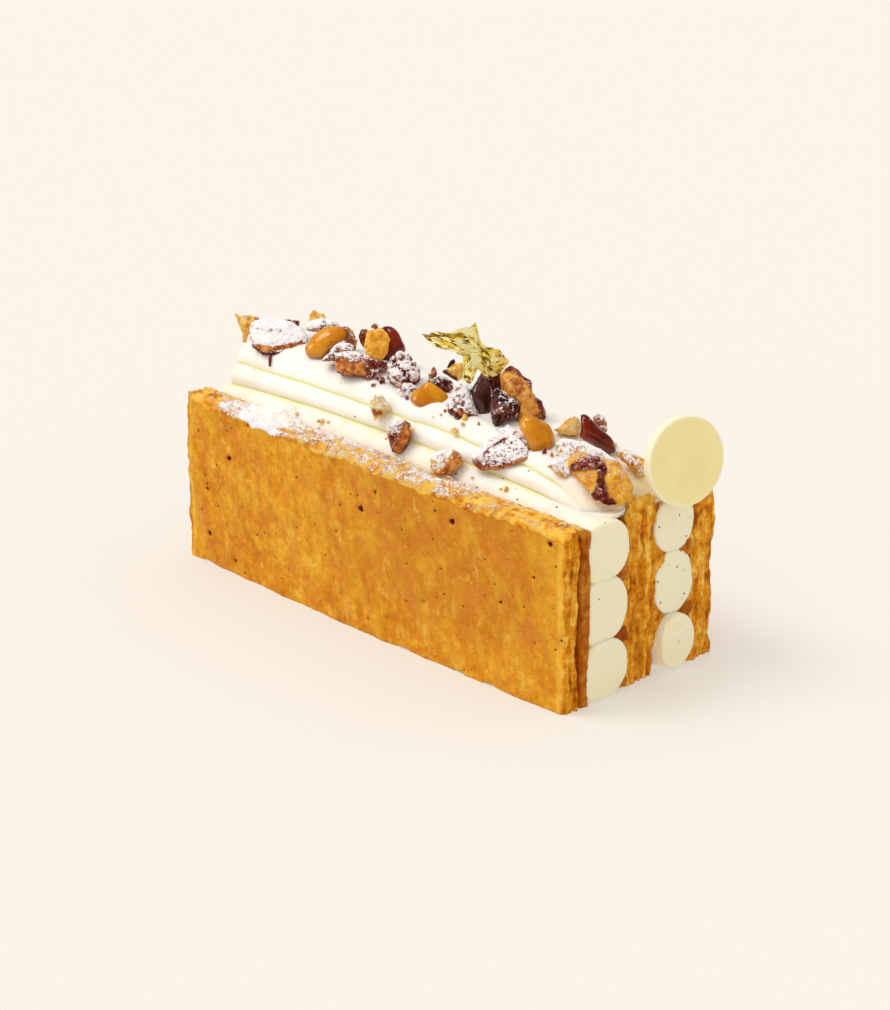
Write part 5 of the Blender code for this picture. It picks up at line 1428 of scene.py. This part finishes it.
# Loose crumbs: x, y and width in mm
WAFER_CRUMBS = (
    (16.9, -9.1, 1.6), (16.0, -11.0, 2.4), (17.5, -10.2, 1.3), (10.2, -10.1, 0.9), (8.3, -10.7, 0.7),
    (36.3, -15.1, 1.4), (34.8, -15.3, 0.9), (-23.9, -15.4, 1.8), (-21.8, -15.2, 1.2), (-32.3, -15.5, 1.6),
    (-3.0, -14.5, 0.8), (26.0, -15.4, 1.0), (41.0, 9.0, 1.4), (46.4, 7.4, 1.8), (50.0, 4.8, 1.6),
    (-56.0, -6.0, 1.4), (-57.8, -7.4, 1.2), (4.6, -14.2, 1.5),
)
NUT_CRUMBS = (
    (-17.7, -7.3, 2.2), (-16.4, -7.6, 1.6), (-15.0, -6.0, 2.4), (-13.6, -6.4, 1.8), (-12.2, -7.4, 2.0),
    (-5.2, -8.3, 1.7), (-3.8, -8.6, 1.4), (-2.2, -8.8, 1.5), (-6.0, 2.6, 2.4), (-8.4, 5.0, 2.2),
    (-4.2, 0.4, 2.2), (-1.6, -1.0, 2.6), (8.6, -2.6, 2.2), (-19.5, -2.6, 2.2), (-24.0, -9.0, 2.0),
    (-25.6, -8.6, 1.6), (-55.6, -7.6, 1.3), (46.9, 5.6, 1.3), (52.4, 4.8, 1.5), (58.0, 1.0, 1.0),
    (-2.6, -8.6, 1.1), (-13.4, -8.8, 1.4), (21.2, -9.0, 1.0), (40.8, -8.2, 1.4), (42.6, -7.9, 1.7),
    (10.6, -9.2, 0.9),
)


def loose_crumbs(tree, looks):
    """Small crumbs of wafer and nut on the cream and the pale strip."""
    scatter("wafer_crumbs", tree, WAFER_CRUMBS, looks["amber wafer"], 21)
    scatter("nut_crumbs", tree, NUT_CRUMBS, looks["sugared nut"], 22)


# Middle and half sizes in mm, and how dark, as painted shade in the notch: the tip is on the side given by
# the sign of the second half size
CRAGS = (
    ((62.1, -6.4, 27.3), (1.2, 2.3, 2.5), 0.6),
    ((62.1, -6.3, 12.9), (1.2, 2.3, 2.4), 0.9),
    ((61.7, 13.9, 27.9), (1.3, 2.6, 2.9), 0.5),
    ((61.7, 14.0, 13.0), (1.4, 2.7, 2.9), 0.75),
    ((61.9, -5.6, 2.0), (1.3, 1.6, 1.9), 0.6),
)


def edge_crags(look):
    """Bits of baked edge that reach into the notches between the tubes, darkened with painted shade."""
    ball, faces = ball_skin(3, 1.0)
    around = np.maximum(np.hypot(ball[:, 0], ball[:, 2]), 1e-6)
    for k, (place, half, deep_shade) in enumerate(CRAGS):
        from_tip = (1 + ball[:, 1] * np.sign(half[1])) / 2
        width = from_tip ** 0.8 * np.sqrt(np.clip(1 - from_tip ** 6, 0, 1))
        shape = np.column_stack([ball[:, 0] / around * width, ball[:, 1], ball[:, 2] / around * width])
        points = (np.array(place) + shape * np.abs(half)) * MM
        crumbly = 0.6 * crumb_noise(points, 1.2, 800 + k, 3) * np.minimum(1, around * 2)
        points = points + ball * crumbly[:, None] * MM
        # The crag's darkness is painted shade in the notch between the tubes
        values = {"cut": 1.0, "deep_shade": deep_shade, "sugar": -0.5}
        marks = {label: np.full(len(points), value) for label, value in values.items()}
        add_piece(f"edge_crag_{k + 1}", points, faces, look, marks=marks, smooth=False)


DRIP_PATH = ((-50.4, -7.7, 51.9), (-49.8, -8.6, 51.3), (-48.9, -9.5, 50.7), (-48.1, -10.3, 49.9),
             (-47.5, -10.9, 49.0), (-47.1, -11.3, 48.1))
DRIP_RADII = (0.55, 0.5, 0.42, 0.38, 0.34, 0.24)
DRIP_SIDES = 14


def caramel_drip(look):
    """A thin dark run of caramel from under the large dusted nut, down the top pleat."""
    path = np.array(DRIP_PATH)
    angle = circle(DRIP_SIDES)
    rows = [np.repeat(path[:1], DRIP_SIDES, 0)]
    for k, (place, radius) in enumerate(zip(path, DRIP_RADII)):
        ahead = path[min(k + 1, len(path) - 1)] - path[max(k - 1, 0)]
        ahead = ahead / np.linalg.norm(ahead)
        wide = np.cross(ahead, (0.0, 0.8, -0.6))
        wide = wide / np.linalg.norm(wide)
        out = np.cross(ahead, wide)
        rows.append(place + radius * (np.outer(np.cos(angle), wide) + np.outer(np.sin(angle), out)))
    rows.append(np.repeat(path[-1:], DRIP_SIDES, 0))
    points, quads = tube_skin(rows)
    add_piece("caramel_drip", points * MM, quads, look, sealed=True)


# Stage, light and camera

FLOOR_HALF = 4.0
FLOOR_TINT = (0.462, 0.437, 0.400, 1.0)
FLOOR_GLOW = 0.42
BACKGROUND = (0.965, 0.905, 0.807, 1.0)
PANEL_DIRECTION = (-0.66, -0.70, 0.27)
PANEL_STRENGTH, ROOM_STRENGTH = 6.0, 0.2
SUN_DIRECTION = (-0.376, -0.401, 0.86)
VIEW_LENS, VIEW_DISTANCE = 112.49, 0.720
VIEW_TARGET = (0.711, 0.0, 23.968)


def add_object(name, data):
    made = bpy.data.objects.new(name, data)
    bpy.context.collection.objects.link(made)
    return made


def aim(thing, location, direction, axis, up):
    """Put a thing at a place, with its own axis turned along the direction."""
    thing.location = location
    thing.rotation_mode = "QUATERNION"
    thing.rotation_quaternion = direction.to_track_quat(axis, up)


def add_stage():
    mesh = bpy.data.meshes.new("floor")
    corners = [(x * FLOOR_HALF, y * FLOOR_HALF, 0) for x, y in ((-1, -1), (1, -1), (1, 1), (-1, 1))]
    mesh.from_pydata(corners, [], [(0, 1, 2, 3)])
    paper, _ = new_material("pale studio floor", Base_Color=FLOOR_TINT, Roughness=0.9, Specular_IOR_Level=0.0,
                            Emission_Color=BACKGROUND, Emission_Strength=FLOOR_GLOW)
    mesh.materials.append(paper)
    floor = add_object("floor", mesh)


def add_world():
    """Even pale studio light, brighter from above. Shiny things mirror a dimmer room with one lit panel."""
    world = bpy.data.worlds.new("studio")
    bpy.context.scene.world = world
    world.use_nodes = True
    tree = world.node_tree
    tree.nodes.clear()
    direction = put(tree, "TexCoord").outputs["Generated"]
    height = put(tree, "SeparateXYZ", {0: direction}).outputs["Z"]
    toward = put(tree, "VectorMath", {0: direction, 1: PANEL_DIRECTION}, operation="DOT_PRODUCT")
    panel = remap(tree, toward.outputs["Value"], 0.955, 0.985)
    mirrored = maths(tree, "MULTIPLY_ADD", panel, PANEL_STRENGTH, ROOM_STRENGTH)
    light, room, seen = (
        put(tree, "Background", {"Color": colour, "Strength": strength}).outputs[0]
        for colour, strength in (((1.0, 0.985, 0.965, 1), remap(tree, height, -0.1, 0.9, 0.56, 0.96)),
                                 ((1.0, 0.99, 0.97, 1), mirrored), (BACKGROUND, 1.0)))
    rays = put(tree, "LightPath").outputs
    pick = put(tree, "MixShader", {0: rays["Is Glossy Ray"], 1: light, 2: room}).outputs[0]
    pick = put(tree, "MixShader", {0: rays["Is Camera Ray"], 1: pick, 2: seen}).outputs[0]
    put(tree, "OutputWorld", {0: pick})


def add_sun():
    lamp = bpy.data.lights.new("softbox", "SUN")
    lamp.energy = 1.3
    lamp.angle = math.radians(30)
    lamp.color = (1.0, 0.985, 0.955)
    toward = Vector(SUN_DIRECTION).normalized()
    aim(add_object("softbox", lamp), toward, toward, "Z", "Y")


def add_camera():
    """The photograph's view, at the front corner's azimuth and height."""
    lens = bpy.data.cameras.new("camera")
    lens.lens = VIEW_LENS
    lens.sensor_width = 36.0
    lens.clip_start = 0.01
    camera = add_object("camera", lens)
    back = Vector(TO_FRONT)
    aim(camera, Vector(VIEW_TARGET) * MM + back * VIEW_DISTANCE, -back, "-Z", "Y")
    bpy.context.scene.camera = camera


# Colours of the nuts and wafers where they are light, middling and dark
NUT_TINTS = {
    "amber wafer": ((252, 214, 130), (244, 190, 84), (214, 142, 48)),
    "amber wafer pale": ((254, 226, 160), (248, 208, 120), (226, 166, 80)),
    "amber nut toasted": ((240, 182, 88), (222, 148, 56), (166, 84, 26)),
    "honey nugget": ((252, 190, 74), (242, 170, 50), (224, 146, 34)),
    "sugared nut": ((214, 136, 84), (156, 74, 42), (82, 22, 16)),
    "brown nut": ((212, 128, 62), (158, 74, 30), (80, 22, 12)),
    "amber nut": ((240, 187, 68), (230, 163, 42), (210, 131, 26)),
    "burnt crumb": ((118, 48, 30), (72, 26, 18), (36, 10, 8)),
}
# Colours of the sauces where they are thin and thick, and how clear they are
CARAMEL_TINTS = {
    "soft caramel": ((226, 153, 22), (198, 119, 8), 0.25),
    "dark caramel glaze": ((132, 32, 2), (90, 17, 0), 0.1),
    "dark chocolate drop": ((92, 48, 40), (66, 32, 28), 0.05),
}


def main():
    make_groups()
    pastry = puff_pastry()
    looks = {name: nut(name, *(tint(*colour) for colour in colours)) for name, colours in NUT_TINTS.items()}
    for name, (thin, thick, clear) in CARAMEL_TINTS.items():
        looks[name] = caramel(name, tint(*thin), tint(*thick), clear)
    vanilla = cream("vanilla cream piped", tint(253, 245, 234), tint(250, 239, 220), tint(247, 229, 192),
                    tint(232, 216, 150), seeds=(0.10, 0.6), pores=0.14, lumps=0.45)
    white = cream("white cream piped", tint(251, 247, 240), tint(248, 242, 228), tint(250, 244, 232),
                  tint(208, 198, 112), seeds=(0.095, 0.2), pores=0.0, lumps=0.16)
    for name, row in SHEETS.items():
        pastry_sheet(name, pastry, **row)
    for column in COLUMN_SPANS:
        for level in range(3):
            piped_tube(column, level, vanilla)
    white_band(white)
    round_disc(white_chocolate())
    add_toppings(looks)
    gold_leaf(leaf_gold())
    tree = surface_under()
    powder = sugar_powder()
    sugar_heap(tree, powder)
    sugar_grains(tree, powder)
    loose_crumbs(tree, looks)
    edge_crags(pastry)
    caramel_drip(looks["dark caramel glaze"])
    add_stage()
    add_world()
    add_sun()
    add_camera()
    bpy.context.scene.view_settings.view_transform = "Standard"


main()
